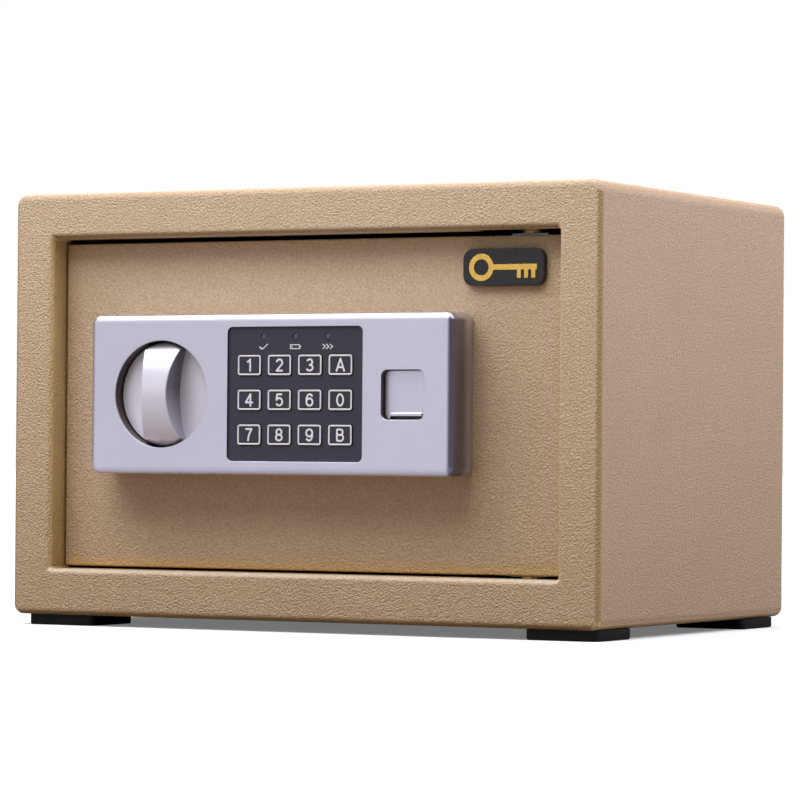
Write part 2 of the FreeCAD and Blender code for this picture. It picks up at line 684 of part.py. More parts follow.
# ---------------------------------------------------------------- knob and bolt work
def knob():
    """Round knob with an arched grip bar across it, waisted by a round scoop on each side."""
    disc = rod_y(KNOB_X, KNOB_Z, KNOB_R, KNOB_DISC_FACE, KNOB_DISC_FACE + 4)
    arch_sag = KNOB_DISC_FACE - GRIP_END_RISE - KNOB_CROWN
    arch_r = (KNOB_R**2 + arch_sag**2) / (2 * arch_sag)
    arch = rod_x(KNOB_CROWN + arch_r, KNOB_Z, arch_r, KNOB_X - KNOB_R, KNOB_X + KNOB_R)
    reach = KNOB_DISC_FACE - KNOB_CROWN + 1
    disc_centre = Vector(KNOB_X, KNOB_DISC_FACE, KNOB_Z)
    ends = Part.makeCone(KNOB_R, KNOB_R - GRIP_END_SLOPE * reach, reach, disc_centre, Vector(0, -1, 0))
    bar = arch.common(joined(ends, rod_y(KNOB_X, KNOB_Z, KNOB_R, KNOB_DISC_FACE, KNOB_DISC_FACE + 1)))
    scoop_reach, scoop_sag = 21.5, 3.5
    scoop_r = (scoop_reach**2 + scoop_sag**2) / (2 * scoop_sag)
    for side in (-1, 1):
        centre = KNOB_X + side * (GRIP_WAIST + scoop_r)
        bar = bar.cut(rod_y(centre, KNOB_Z, scoop_r, KNOB_CROWN - 2, KNOB_DISC_FACE + 2))
    grip = joined(disc, bar)
    grip = soften(grip, 1.8, is_wall_foot)
    grip = soften(grip, 0.7, is_grip_brow)
    hub = rod_y(KNOB_X, KNOB_Z, 7.5, KNOB_DISC_FACE + 3, DOOR_SET_BACK - 0.4)
    socket = rod_y(KNOB_X, KNOB_Z, SPINDLE_R, KNOB_DISC_FACE + 3, DOOR_SET_BACK)
    return joined(grip, hub).cut(socket)


def edge_middle(edge):
    return edge.valueAt((edge.FirstParameter + edge.LastParameter) / 2)


def is_wall_foot(edge):
    """The arc where a scooped wall of the grip bar meets the knob's disc."""
    p = edge_middle(edge)
    return near(p.y, KNOB_DISC_FACE) and abs(abs(p.x - KNOB_X) - GRIP_WAIST) < 0.5


def is_grip_brow(edge):
    """The edge all round the arched top of the grip bar."""
    p = edge_middle(edge)
    return p.y < KNOB_DISC_FACE - GRIP_END_RISE + 0.5


def soften(shape, radius, test):
    """Rounds the edges that pass the test, or leaves the shape as it was if the kernel can't."""
    picked = [e for e in shape.Edges if test(e)]
    try:
        rounded = shape.makeFillet(radius, picked)
        return rounded if rounded.isValid() else shape
    except Exception:
        print("left sharp: an edge group of", len(picked), "at radius", radius)
        return shape


def spindle():
    """Steel shaft from the knob, through the door, to the crank."""
    return rod_y(KNOB_X, KNOB_Z, SPINDLE_R, KNOB_DISC_FACE + 3.2, CARRIER_Y0 - 0.2)


def spindle_bush():
    """Flanged bush pressed into the door plate from behind."""
    body = rod_y(KNOB_X, KNOB_Z, 6.0, DOOR_SET_BACK, BUSH_BACK)
    flange = rod_y(KNOB_X, KNOB_Z, 9.0, DOOR_BACK, BUSH_BACK)
    return joined(body, flange).cut(rod_y(KNOB_X, KNOB_Z, SPINDLE_R + 0.05, 0.0, 30.0))


def crank():
    """Crank plate on the spindle. Its pin drives the bolt carrier's slot."""
    y0, y1 = CRANK_Y0, CARRIER_Y0 - 0.3
    offset = CRANK_R / math.sqrt(2)
    pin_x, pin_z = KNOB_X + offset, KNOB_Z + offset
    hub = rod_y(KNOB_X, KNOB_Z, 9.0, y0, y1)
    eye = rod_y(pin_x, pin_z, 5.5, y0, y1)
    web = box(0.0, CRANK_R, y0, y1, -5.0, 5.0)
    web.rotate(Vector(0, 0, 0), Vector(0, 1, 0), -45)
    web.translate(Vector(KNOB_X, 0, KNOB_Z))
    pin = rod_y(pin_x, pin_z, CRANK_PIN_R, y0, CARRIER_Y1 + 1.5)
    return joined(hub, eye, web, pin).cut(rod_y(KNOB_X, KNOB_Z, SPINDLE_R, y0 - 1, y1 + 1))


def spindle_clip():
    """Spring ring behind the bush, so that the spindle can't be pulled out of the door."""
    y0, y1 = BUSH_BACK + 0.1, CRANK_Y0 - 0.1
    ring = rod_y(KNOB_X, KNOB_Z, 6.5, y0, y1).cut(rod_y(KNOB_X, KNOB_Z, SPINDLE_R, y0 - 1, y1 + 1))
    return ring.cut(box(KNOB_X - 1.2, KNOB_X + 1.2, y0 - 1, y1 + 1, KNOB_Z - 8, KNOB_Z))


def bolt_carrier():
    """Sliding plate that joins both bolts to the crank, with its catch block for the solenoid plunger."""
    y0, y1 = CARRIER_Y0, CARRIER_Y1
    z_low, z_high = KNOB_Z - 46, KNOB_Z + 46
    main = slab(CARRIER_X0, -38.0, z_low, z_high, y0, y1, 1.0)
    flange = box(CARRIER_X0, CARRIER_X0 + CARRIER_T, y0, 43.0, z_low, z_high)
    arm = box(-40.0, 47.5, y0, y1, 101.5, 113.0)
    lug = box(38.3, 47.5, y0, y1, 101.5, 117.0)
    catch_x0, catch_x1 = 38.3, 47.5
    profile = Part.makePolygon([
        Vector(catch_x0, y0, 113.0),
        Vector(catch_x1, y0, 113.0),
        Vector(catch_x1, y0, CATCH_TOP),
        Vector(catch_x1 - 2.5, y0, CATCH_TOP),
        Vector(catch_x0, y0, 116.0),
        Vector(catch_x0, y0, 113.0),
    ])
    catch = Part.Face(profile).extrude(Vector(0, 39.0 - y0, 0))
    plate = joined(main, flange, arm, lug, catch)
    pin_x = KNOB_X + CRANK_R / math.sqrt(2)
    slot_z0 = KNOB_Z + CRANK_R / math.sqrt(2)
    slot_z1 = KNOB_Z + CRANK_R
    margin = CRANK_PIN_R + 0.6
    cutters = [
        box(pin_x - SLOT_HALF_W, pin_x + SLOT_HALF_W, y0 - 1, y1 + 1, slot_z0 - margin, slot_z1 + margin)
    ]
    cutters += [slot_along_x(x, x + THROW, z, STUD_R + 0.3, y0 - 1, y1 + 1) for x, z in STUDS]
    return without(plate, *cutters)


def lock_bolts():
    """Two round steel bolts with chamfered tips, riveted to the carrier's flange."""
    bolts = []
    for z in bolt_heights():
        bolt = rod_x(BOLT_Y, z, BOLT_R, BOLT_TIP_X, CARRIER_X0)
        bolts.append(bolt.makeChamfer(1.2, edges_where(bolt, lambda p: near(p.x, BOLT_TIP_X))))
    return Part.makeCompound(bolts)


def guide_studs():
    """Shouldered studs on the door's back that carry the sliding plate."""
    studs = []
    for x, z in STUDS:
        collar = rod_y(x, z, 4.5, DOOR_BACK, CARRIER_Y0 - 0.15)
        shank = rod_y(x, z, STUD_R, DOOR_BACK, CARRIER_Y1 + 0.3)
        head = rod_y(x, z, 5.5, CARRIER_Y1 + 0.25, CARRIER_Y1 + 2.0)
        studs.append(joined(collar, shank, head))
    return Part.makeCompound(studs)


# ---------------------------------------------------------------- solenoid and emergency lock
def solenoid_yoke():
    """U bracket on the door's back that holds the coil between its arms."""
    x0, x1, t = PLUNGER_X - 10, PLUNGER_X + 10, 2.0
    base = box(x0, x1, DOOR_BACK, DOOR_BACK + t, YOKE_Z0, YOKE_Z1)
    arms = [box(x0, x1, DOOR_BACK, 44.0, z, z + t) for z in (YOKE_Z0, YOKE_Z1 - t)]
    bore = rod_z(PLUNGER_X, PLUNGER_Y, PLUNGER_R + 0.5, YOKE_Z0 - 1, YOKE_Z0 + t + 1)
    return joined(base, *arms).cut(bore)


def solenoid_coil():
    z0, z1 = YOKE_Z0 + 2.0, YOKE_Z1 - 2.0
    coil = rod_z(PLUNGER_X, PLUNGER_Y, 8.6, z0, z1)
    grooves = rod_z(PLUNGER_X, PLUNGER_Y, 9.6, z0 + 2, z1 - 2).cut(rod_z(PLUNGER_X, PLUNGER_Y, 8.0, z0, z1))
    return without(coil, grooves, rod_z(PLUNGER_X, PLUNGER_Y, PLUNGER_R + 0.3, z0 - 1, z1 - 2))


def plunger():
    """Solenoid core with a collar for its spring and for the emergency cam."""
    core = rod_z(PLUNGER_X, PLUNGER_Y, PLUNGER_R, PLUNGER_TIP_Z, YOKE_Z1 - 5)
    core = core.makeFillet(1.5, edges_where(core, lambda p: near(p.z, PLUNGER_TIP_Z)))
    return joined(core, rod_z(PLUNGER_X, PLUNGER_Y, COLLAR_R, COLLAR_Z0, COLLAR_Z1))


def plunger_spring():
    """Open compression spring between the plunger's collar and the yoke."""
    wire_r, coil_r, turns, steps = 0.4, 5.6, 4, 12
    z0, z1 = COLLAR_Z1 + wire_r + 0.05, YOKE_Z0 - wire_r - 0.05
    points = []
    for i in range(turns * steps + 1):
        angle = 2 * math.pi * i / steps
        rise = (z1 - z0) * i / (turns * steps)
        points.append((PLUNGER_X + coil_r * math.cos(angle), PLUNGER_Y + coil_r * math.sin(angle), z0 + rise))
    return cable(points, wire_r)


def key_cylinder():
    """Emergency lock barrel, flanged on the door's front face."""
    face = rod_y(LOCK_X, LOCK_Z, 8.8, 8.2, DOOR_SET_BACK)
    flange = rod_y(LOCK_X, LOCK_Z, 11.5, 9.6, DOOR_SET_BACK)
    barrel = rod_y(LOCK_X, LOCK_Z, 9.3, DOOR_SET_BACK, 36.0)
    return joined(face, flange, barrel).cut(rod_y(LOCK_X, LOCK_Z, 6.05, 0.0, 40.0))


def cylinder_nut():
    nut = hexagon_y(LOCK_X, LOCK_Z, 23.0, DOOR_BACK, DOOR_BACK + 4.0)
    return nut.cut(rod_y(LOCK_X, LOCK_Z, 9.3, 10.0, 30.0))


def key_plug():
    """Turning core of the emergency lock, with its keyway."""
    core = rod_y(LOCK_X, LOCK_Z, 6.0, 8.0, CAM_Y0)
    spigot = rod_y(LOCK_X, LOCK_Z, 3.0, CAM_Y0 - 1, CAM_Y1 + 0.2)
    head = rod_y(LOCK_X, LOCK_Z, 4.5, CAM_Y1, CAM_Y1 + 1.6)
    keyway = box(LOCK_X - 0.6, LOCK_X + 0.6, 7.0, 32.0, LOCK_Z - 3.6, LOCK_Z + 3.6)
    return joined(core, spigot, head).cut(keyway)


def key_cam():
    """Lever on the plug's tail. A quarter turn of the key lifts the plunger's collar with its tip."""
    angle = math.radians(CAM_REST_ANGLE)
    tip_x = LOCK_X - CAM_TIP_L * math.cos(angle)
    tip_z = LOCK_Z + CAM_TIP_L * math.sin(angle)
    hub = rod_y(LOCK_X, LOCK_Z, 7.5, CAM_Y0, CAM_Y1)
    tip = rod_y(tip_x, tip_z, 3.0, CAM_Y0, CAM_Y1)
    web = box(-CAM_TIP_L, 0.0, CAM_Y0, CAM_Y1, -3.0, 3.0)
    web.rotate(Vector(0, 0, 0), Vector(0, 1, 0), CAM_REST_ANGLE)
    web.translate(Vector(LOCK_X, 0, LOCK_Z))
    return joined(hub, tip, web).cut(rod_y(LOCK_X, LOCK_Z, 3.0, CAM_Y0 - 1, CAM_Y1 + 1))


# ---------------------------------------------------------------- power and reset
def cell_places():
    centre = (HOLDER_X0 + HOLDER_X1) / 2
    return [centre + (i - 1.5) * CELL_PITCH for i in range(4)]


def battery_holder():
    """Open tray for four AA cells, with a rib between neighbours."""
    tray = slab(HOLDER_X0, HOLDER_X1, HOLDER_Z0, HOLDER_Z1, HOLDER_Y0, CHASSIS_BACK, 1.5)
    t = 1.4
    hollow = slab(
        HOLDER_X0 + t, HOLDER_X1 - t, HOLDER_Z0 + t, HOLDER_Z1 - t, HOLDER_Y0 + t, CHASSIS_BACK + 1, 0.8
    )
    ribs = []
    for a, b in zip(cell_places(), cell_places()[1:]):
        middle = (a + b) / 2
        rib = box(
            middle - 0.2, middle + 0.2, HOLDER_Y0 + t - 0.2, HOLDER_Y0 + 6, HOLDER_Z0 + t, HOLDER_Z1 - t
        )
        ribs.append(rib)
    legs = [rod_y(x, z, 3.0, DOOR_BACK, HOLDER_Y0 + 0.5) for x in (-27.0, 26.0) for z in (44.0, 94.0)]
    return joined(tray.cut(hollow), *ribs, *legs)


def battery_cells():
    """Four AA cells, alternately reversed."""
    middle = (HOLDER_Z0 + HOLDER_Z1) / 2
    cells = []
    for i, x in enumerate(cell_places()):
        z0, z1 = middle - CELL_LENGTH / 2, middle + CELL_LENGTH / 2
        body = rod_z(x, CELL_Y, CELL_R, z0, z1)
        body = body.makeFillet(0.6, edges_where(body, lambda p: near(p.z, z0) or near(p.z, z1)))
        nub = (z1 - 0.2, z1 + 1.5) if i % 2 == 0 else (z0 - 1.5, z0 + 0.2)
        cells.append(joined(body, rod_z(x, CELL_Y, 2.75, *nub)))
    return Part.makeCompound(cells)


def battery_contacts():
    """Sprung contact plates at the two ends of each cell."""
    low, high = HOLDER_Z0 + 1.4, HOLDER_Z1 - 1.4
    middle = (HOLDER_Z0 + HOLDER_Z1) / 2
    reach = CELL_LENGTH / 2 + 1.55
    plates = []
    for i, x in enumerate(cell_places()):
        flat_end, spring_end = ((high, middle + reach), (low, middle - reach + 1.5))
        if i % 2:
            flat_end, spring_end = ((low, middle - reach), (high, middle + reach - 1.5))
        for (wall, touch), r in ((flat_end, 3.0), (spring_end, 4.5)):
            side = math.copysign(1.0, touch - wall)
            plate_z = sorted((wall, wall + side * 0.5))
            plate = box(x - 5.5, x + 5.5, CELL_Y - 6, CELL_Y + 6, *plate_z)
            post_z = sorted((wall + side * 0.4, touch))
            plates.append(joined(plate, rod_z(x, CELL_Y, r, *post_z)))
    return Part.makeCompound(plates)


def battery_cover():
    """Lid that slides towards the hinge in the back cover's rails, with a ribbed thumb grip."""
    y0, y1 = COVER_BACK + 0.2, COVER_BACK + 2.2
    x0, x1 = HOLDER_X0 - 1, HOLDER_X1 + 1
    z0, z1 = HOLDER_Z0 - 0.2, HOLDER_Z1 + 0.2
    lid = box(x0, x1, y0, y1, z0, z1)
    raised = slab(x0, x1, z0 + 3.2, z1 - 3.2, y1 - 0.2, y1 + 1.4, 1.0)
    ribs = [box(x0 + 8 + 3 * i, x0 + 9.2 + 3 * i, y1 + 1.2, y1 + 2.0, z0 + 16, z1 - 16) for i in range(5)]
    return joined(lid, raised, *ribs)


def reset_switch():
    body = box(RESET_X - 6, RESET_X + 6, 36.0, CHASSIS_BACK - 1.0, RESET_Z - 6, RESET_Z + 6)
    wings = box(RESET_X - 12, RESET_X + 12, CHASSIS_BACK - 1.5, CHASSIS_BACK, RESET_Z - 4, RESET_Z + 4)
    return joined(body, wings).cut(rod_y(RESET_X, RESET_Z, 4.2, 38.0, CHASSIS_BACK + 1))


def reset_button():
    """Push button that starts a new code, reached with the door open."""
    y0, y1 = 40.5, COVER_BACK + 2.0
    cap = rod_y(RESET_X, RESET_Z, 3.9, y0, y1)
    return cap.makeFillet(0.7, edges_where(cap, lambda p: near(p.y, y1)))


def wire_harness():
    """Leads from the control board to the battery holder, the solenoid and the reset switch."""
    x, z, y = CABLE_X, CABLE_Z, SOCKET_BACK + 0.3
    low = z - 4.5
    to_cells = (
        (x, y, low), (x, y + 2, low), (x, 14.0, z), (x, 26.0, z - 4), (-6.0, 33.0, 120.0),
        (-8.0, 34.0, HOLDER_Z1 + 0.6),
    )
    to_coil = (
        (x + 2.6, y, low), (x + 2.6, y + 2, low), (x + 2.4, 14.0, z), (8.0, 28.0, 147.0),
        (17.0, 34.0, 155.0), (24.0, 35.0, 156.0),
    )
    to_reset = (
        (x - 2.6, y, low), (x - 2.6, y + 2, low), (x - 2.4, 14.0, z), (8.0, 22.0, 160.0), (50.0, 22.0, 162.0),
        (62.0, 31.0, 157.0), (68.6, 38.0, 152.0),
    )
    return Part.makeCompound([cable(to_cells, 1.1), cable(to_coil, 1.0), cable(to_reset, 1.0)])


# ---------------------------------------------------------------- export
PARTS = {
    "body_shell": body_shell,
    "rear_panel": rear_panel,
    "bolt_keeper": bolt_keeper,
    "hinge_bracket_top": hinge_bracket_top,
    "hinge_bracket_bottom": hinge_bracket_bottom,
    "floor_mat": floor_mat,
    "rubber_feet": rubber_feet,
    "door_plate": door_plate,
    "lock_chassis": lock_chassis,
    "back_cover": back_cover,
    "cover_screws": cover_screws,
    "hinge_leaf_top": hinge_leaf_top,
    "hinge_leaf_bottom": hinge_leaf_bottom,
    "hinge_pins": hinge_pins,
    "hinge_washers": hinge_washers,
    "panel_housing": panel_housing,
    "keypad_fascia": keypad_fascia,
    "keypad_mat": keypad_mat,
    "control_board": control_board,
    "indicator_leds": indicator_leds,
    "board_screws": board_screws,
    "panel_screws": panel_screws,
    "key_cover": key_cover,
    "badge_plate": badge_plate,
    "badge_emblem": badge_emblem,
    "knob": knob,
    "spindle": spindle,
    "spindle_bush": spindle_bush,
    "spindle_clip": spindle_clip,
    "crank": crank,
    "bolt_carrier": bolt_carrier,
    "lock_bolts": lock_bolts,
    "guide_studs": guide_studs,
    "solenoid_yoke": solenoid_yoke,
    "solenoid_coil": solenoid_coil,
    "plunger": plunger,
    "plunger_spring": plunger_spring,
    "key_cylinder": key_cylinder,
    "cylinder_nut": cylinder_nut,
    "key_plug": key_plug,
    "key_cam": key_cam,
    "battery_holder": battery_holder,
    "battery_cells": battery_cells,
    "battery_contacts": battery_contacts,
    "battery_cover": battery_cover,
    "reset_switch": reset_switch,
    "reset_button": reset_button,
    "wire_harness": wire_harness,
}


def export(name, shape):
    shape = shape.copy()
    shape.translate(ROW_SHIFT)
    if not shape.isValid():
        print("not valid:", name)
    shape.exportStep(os.path.join("parts", name + ".step"))


def main():
    os.makedirs("parts", exist_ok=True)
    for name, build in PARTS.items():
        export(name, build())
    for name, (x, z) in key_places().items():
        export("key_" + name, key_cap(x, z))


main()
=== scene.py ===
import json
import math

import bmesh
import bpy
from mathutils import Matrix, Vector, noise
from mathutils.geometry import delaunay_2d_cdt


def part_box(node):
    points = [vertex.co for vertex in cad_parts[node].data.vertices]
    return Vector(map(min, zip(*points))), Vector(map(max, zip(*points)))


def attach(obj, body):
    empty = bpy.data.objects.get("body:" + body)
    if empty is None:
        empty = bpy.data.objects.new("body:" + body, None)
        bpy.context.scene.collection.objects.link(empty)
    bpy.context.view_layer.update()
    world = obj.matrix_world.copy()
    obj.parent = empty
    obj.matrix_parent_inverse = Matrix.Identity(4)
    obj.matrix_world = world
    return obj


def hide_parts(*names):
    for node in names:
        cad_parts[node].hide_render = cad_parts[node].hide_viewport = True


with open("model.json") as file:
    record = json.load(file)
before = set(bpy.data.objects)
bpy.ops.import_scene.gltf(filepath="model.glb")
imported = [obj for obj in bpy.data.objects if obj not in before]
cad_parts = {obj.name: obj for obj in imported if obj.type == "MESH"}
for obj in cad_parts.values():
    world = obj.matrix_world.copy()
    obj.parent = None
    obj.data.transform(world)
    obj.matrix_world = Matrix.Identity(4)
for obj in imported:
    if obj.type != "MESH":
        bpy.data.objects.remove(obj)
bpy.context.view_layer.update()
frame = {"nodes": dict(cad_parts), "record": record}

MM = 0.001

# Viewpoint: a long lens a little above the floor, in front and to the right of the safe.
LENS_MM = 180.0
CAMERA_YAW = math.radians(28.286)
CAMERA_PITCH = math.radians(0.794)
CAMERA_ROLL = math.radians(-0.456)
CAMERA_FROM_FRONT = Vector((0.91365, -1.59646, 0.081885))

# Floor: its half size, where it turns plain white, how grey its deepest shadow looks, and the colours that
# it sends back to the safe as bounced light and as a reflection.
FLOOR_HALF_SIZE = 14.0
FLOOR_WHITE = (0.74, 0.74, 0.74, 1)
FLOOR_FADE_FROM, FLOOR_FADE_TO = 0.45, 0.9
SHADOW_FLOOR_LEVEL = 0.17
FLOOR_BOUNCE = (0.22, 0.165, 0.1, 1)
FLOOR_GLOSS = (0.32, 0.32, 0.34, 1)

# Soft boxes, all aimed at the safe's middle: name, place, size, watts and colour.
LIGHT_AIM = (0.0, 0.0, 0.1)
SOFT_BOXES = (
    ("key_box", (-0.32, -0.68, 1.12), (1.3, 0.6), 16.4, (1, 1, 1)),
    ("top_box", (0.0, 0.1, 1.4), (1.5, 1.2), 16, (1, 1, 1)),
    ("side_box", (1.05, 0.15, 0.95), (0.8, 0.7), 10.8, (1.0, 0.99, 1.16)),
)

# The surroundings' glow, as (direction, cosine where it starts, cosine where it is full, strength).
WORLD_LIGHT = (0.97, 0.97, 1.0, 1)
WORLD_LOBES = (
    ((-0.5, -0.86, 0.0), 0.6, 0.93, 0.8),
    ((0, 0, 1), 0.1, 0.9, 0.25),
    ((-0.3, 1.0, 0.3), 0.2, 0.9, 0.4),
    ((1, 0, 0), -2.0, -1.0, 0.06),
)

# Regions of the coated steel: how far in from the cabinet's faces its rounded outer edges are sought, how
# far in from the sides its jambs are, and how far back from the front they are sought.
EDGE_REACH = 8.0 * MM
JAMB_INSET = 12.0 * MM
JAMB_REACH = 30.0 * MM

# How steeply the mask of roundings rises, the rays that each bevel or corner lookup casts, and the sharpest
# crease that is shaded smooth.
TURN_GAIN = 8.0
RAY_SAMPLES = 4
SMOOTH_ANGLE = math.radians(38)


# ---------------------------------------------------------------- shader building
def srgb(r, g, b):
    """A colour given as 0-255 screen values, turned into the linear values that shaders take."""

    def linear(value):
        value /= 255
        return value / 12.92 if value <= 0.04045 else ((value + 0.055) / 1.055) ** 2.4

    return (linear(r), linear(g), linear(b), 1.0)


class Surface:
    """One procedural material. Every feature size is in millimetres, in the object's own frame."""

    def __init__(self, name, color, roughness, metallic=0.0, specular=0.5):
        self.material = bpy.data.materials.new(name)
        self.material.use_nodes = True
        self.tree = self.material.node_tree
        self.skin = self.tree.nodes["Principled BSDF"]
        self.skin.inputs["Metallic"].default_value = metallic
        self.skin.inputs["Specular IOR Level"].default_value = specular
        self.place = self.node("ShaderNodeTexCoord").outputs["Object"]
        self.color = self.rgb(color)
        self.roughness = self.value(roughness)
        self.normal = None

    def node(self, kind, **settings):
        made = self.tree.nodes.new(kind)
        for name, value in settings.items():
            setattr(made, name, value)
        return made

    def feed(self, socket, source):
        """Links the source to the socket, or writes it there if it is a plain value."""
        if isinstance(source, bpy.types.NodeSocket):
            self.tree.links.new(source, socket)
        else:
            socket.default_value = source

    def rgb(self, color):
        made = self.node("ShaderNodeRGB")
        made.outputs[0].default_value = color
        return made.outputs[0]

    def value(self, number):
        made = self.node("ShaderNodeValue")
        made.outputs[0].default_value = number
        return made.outputs[0]

    def math(self, operation, a, b=0.0, clamp=False):
        made = self.node("ShaderNodeMath", operation=operation, use_clamp=clamp)
        self.feed(made.inputs[0], a)
        self.feed(made.inputs[1], b)
        return made.outputs[0]

    def span(self, source, low, high, new_low=0.0, new_high=1.0):
        made = self.node("ShaderNodeMapRange")
        for socket, item in zip(made.inputs[:5], (source, low, high, new_low, new_high)):
            self.feed(socket, item)
        return made.outputs[0]

    def mix(self, factor, a, b, blend="MIX"):
        made = self.node("ShaderNodeMix", data_type="RGBA", blend_type=blend)
        self.feed(made.inputs[0], factor)
        self.feed(made.inputs[6], a)
        self.feed(made.inputs[7], b)
        return made.outputs[2]

    def stretched(self, stretch):
        made = self.node("ShaderNodeMapping")
        self.feed(made.inputs["Vector"], self.place)
        made.inputs["Scale"].default_value = stretch
        return made.outputs[0]

    def noise(self, size, detail=2.0, distortion=0.0, stretch=None):
        made = self.node("ShaderNodeTexNoise")
        self.feed(made.inputs["Vector"], self.stretched(stretch) if stretch else self.place)
        made.inputs["Scale"].default_value = 1 / (size * MM)
        made.inputs["Detail"].default_value = detail
        made.inputs["Distortion"].default_value = distortion
        return made.outputs[0]

    def cells(self, size, feature="SMOOTH_F1"):
        made = self.node("ShaderNodeTexVoronoi", feature=feature)
        self.feed(made.inputs["Vector"], self.place)
        made.inputs["Scale"].default_value = 1 / (size * MM)
        return made.outputs["Distance"]

    def axis(self, index):
        made = self.node("ShaderNodeSeparateXYZ")
        self.feed(made.inputs[0], self.place)
        return made.outputs[index]

    def rounded(self, radius):
        """Shades every sharp edge as if it had this radius."""
        made = self.node("ShaderNodeBevel", samples=RAY_SAMPLES)
        made.inputs["Radius"].default_value = radius * MM
        self.normal = made.outputs[0]

    def facing(self):
        """The three parts of the face's direction in the object's own frame, each from -1 to 1."""
        split = self.node("ShaderNodeSeparateXYZ")
        self.feed(split.inputs[0], self.node("ShaderNodeTexCoord").outputs["Normal"])
        return [split.outputs[i] for i in range(3)]

    def turned_faces(self):
        """A mask that is 1 where a real rounding turns away from the object's three axes."""
        x, y, z = (self.math("ABSOLUTE", part) for part in self.facing())
        squarest = self.math("MAXIMUM", self.math("MAXIMUM", x, y), z)
        return self.math("MULTIPLY", self.math("SUBTRACT", 1.0, squarest), TURN_GAIN, clamp=True)

    def edges(self, radius, gain=4.0):
        """A mask that is 1 along edges and 0 on open faces."""
        wide = self.node("ShaderNodeBevel", samples=RAY_SAMPLES)
        wide.inputs["Radius"].default_value = radius * MM
        flat = self.node("ShaderNodeNewGeometry").outputs["Normal"]
        dot = self.node("ShaderNodeVectorMath", operation="DOT_PRODUCT")
        self.feed(dot.inputs[0], wide.outputs[0])
        self.feed(dot.inputs[1], flat)
        away = self.math("SUBTRACT", 1.0, dot.outputs["Value"])
        return self.math("MULTIPLY", away, gain, clamp=True)

    def crevices(self, reach):
        """A mask that is 1 in corners and gaps, and 0 in the open."""
        made = self.node("ShaderNodeAmbientOcclusion", samples=RAY_SAMPLES)
        made.inputs["Distance"].default_value = reach * MM
        return self.math("SUBTRACT", 1.0, made.outputs["AO"])

    def bump(self, height, depth):
        made = self.node("ShaderNodeBump")
        made.inputs["Strength"].default_value = 1.0
        made.inputs["Distance"].default_value = depth * MM
        self.feed(made.inputs["Height"], height)
        if self.normal is not None:
            self.feed(made.inputs["Normal"], self.normal)
        self.normal = made.outputs[0]

    def tint(self, factor, color, blend="MIX"):
        self.color = self.mix(factor, self.color, color, blend)

    def vary_roughness(self, factor, amount):
        """Lets the roughness wander by this amount either way."""
        self.roughness = self.math("ADD", self.roughness, self.span(factor, 0.3, 0.7, -amount, amount))

    def done(self):
        """Joins what was built to the shader, and returns the material."""
        self.feed(self.skin.inputs["Base Color"], self.color)
        self.feed(self.skin.inputs["Roughness"], self.roughness)
        if self.normal is not None:
            self.feed(self.skin.inputs["Normal"], self.normal)
        return self.material


# ---------------------------------------------------------------- finishes
def powder_coat(name, thin_coat_and_shade_band, thin_coat_and_shade_share):
    """Beige textured coat: fine leathery ridges, with painted shade in their valleys, towards the bottom
    and in corners, and tinted rounded edges.

    Along each sharp edge the coat turns ochre over thin_coat_and_shade_band millimetres, by the share
    thin_coat_and_shade_share: a thin coat on the cabinet, painted shade along the door's edges."""
    s = Surface(name, srgb(211, 188, 161), 0.5, specular=0.4)
    s.rounded(0.5)
    leather = s.noise(0.95, 1.2, 0.5)
    grain = s.noise(0.55, 1.0, 0.3)
    height = s.math("ADD", s.math("MULTIPLY", leather, 0.75), s.math("MULTIPLY", grain, 0.3))
    s.tint(s.span(s.noise(60.0, 3.0), 0.35, 0.65, 0.0, 0.25), srgb(196, 174, 150))
    # Painted shade: the valleys between the ridges are darker.
    s.tint(s.span(height, 0.42, 0.62, 0.45, 0.0), srgb(164, 138, 108))
    low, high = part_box("body_shell")
    # Painted shade: the coat is darker towards the cabinet's bottom.
    s.tint(s.span(s.axis(2), low.z, high.z, 1.0, 0.0), (0.85, 0.8, 0.745, 1), "MULTIPLY")
    tint_roundings(s, low, high)
    # Ochre along each sharp edge: thin coat on the cabinet, painted shade along the door's edges.
    s.tint(s.math("MULTIPLY", s.edges(thin_coat_and_shade_band, 3.0), thin_coat_and_shade_share), srgb(190, 154, 96))
    # Painted shade: ochre darkening in corners and gaps.
    s.tint(s.math("MULTIPLY", s.crevices(12.0), 0.6, clamp=True), srgb(160, 124, 68))
    s.vary_roughness(s.noise(4.0), 0.05)
    on_sides = s.span(s.math("ABSOLUTE", s.facing()[0]), 0.5, 0.9, 1.0, 0.6)
    with_height = s.span(s.axis(2), low.z, high.z, 1.2, 0.65)
    s.bump(s.math("MULTIPLY", height, s.math("MULTIPLY", on_sides, with_height)), 1.35)
    return s


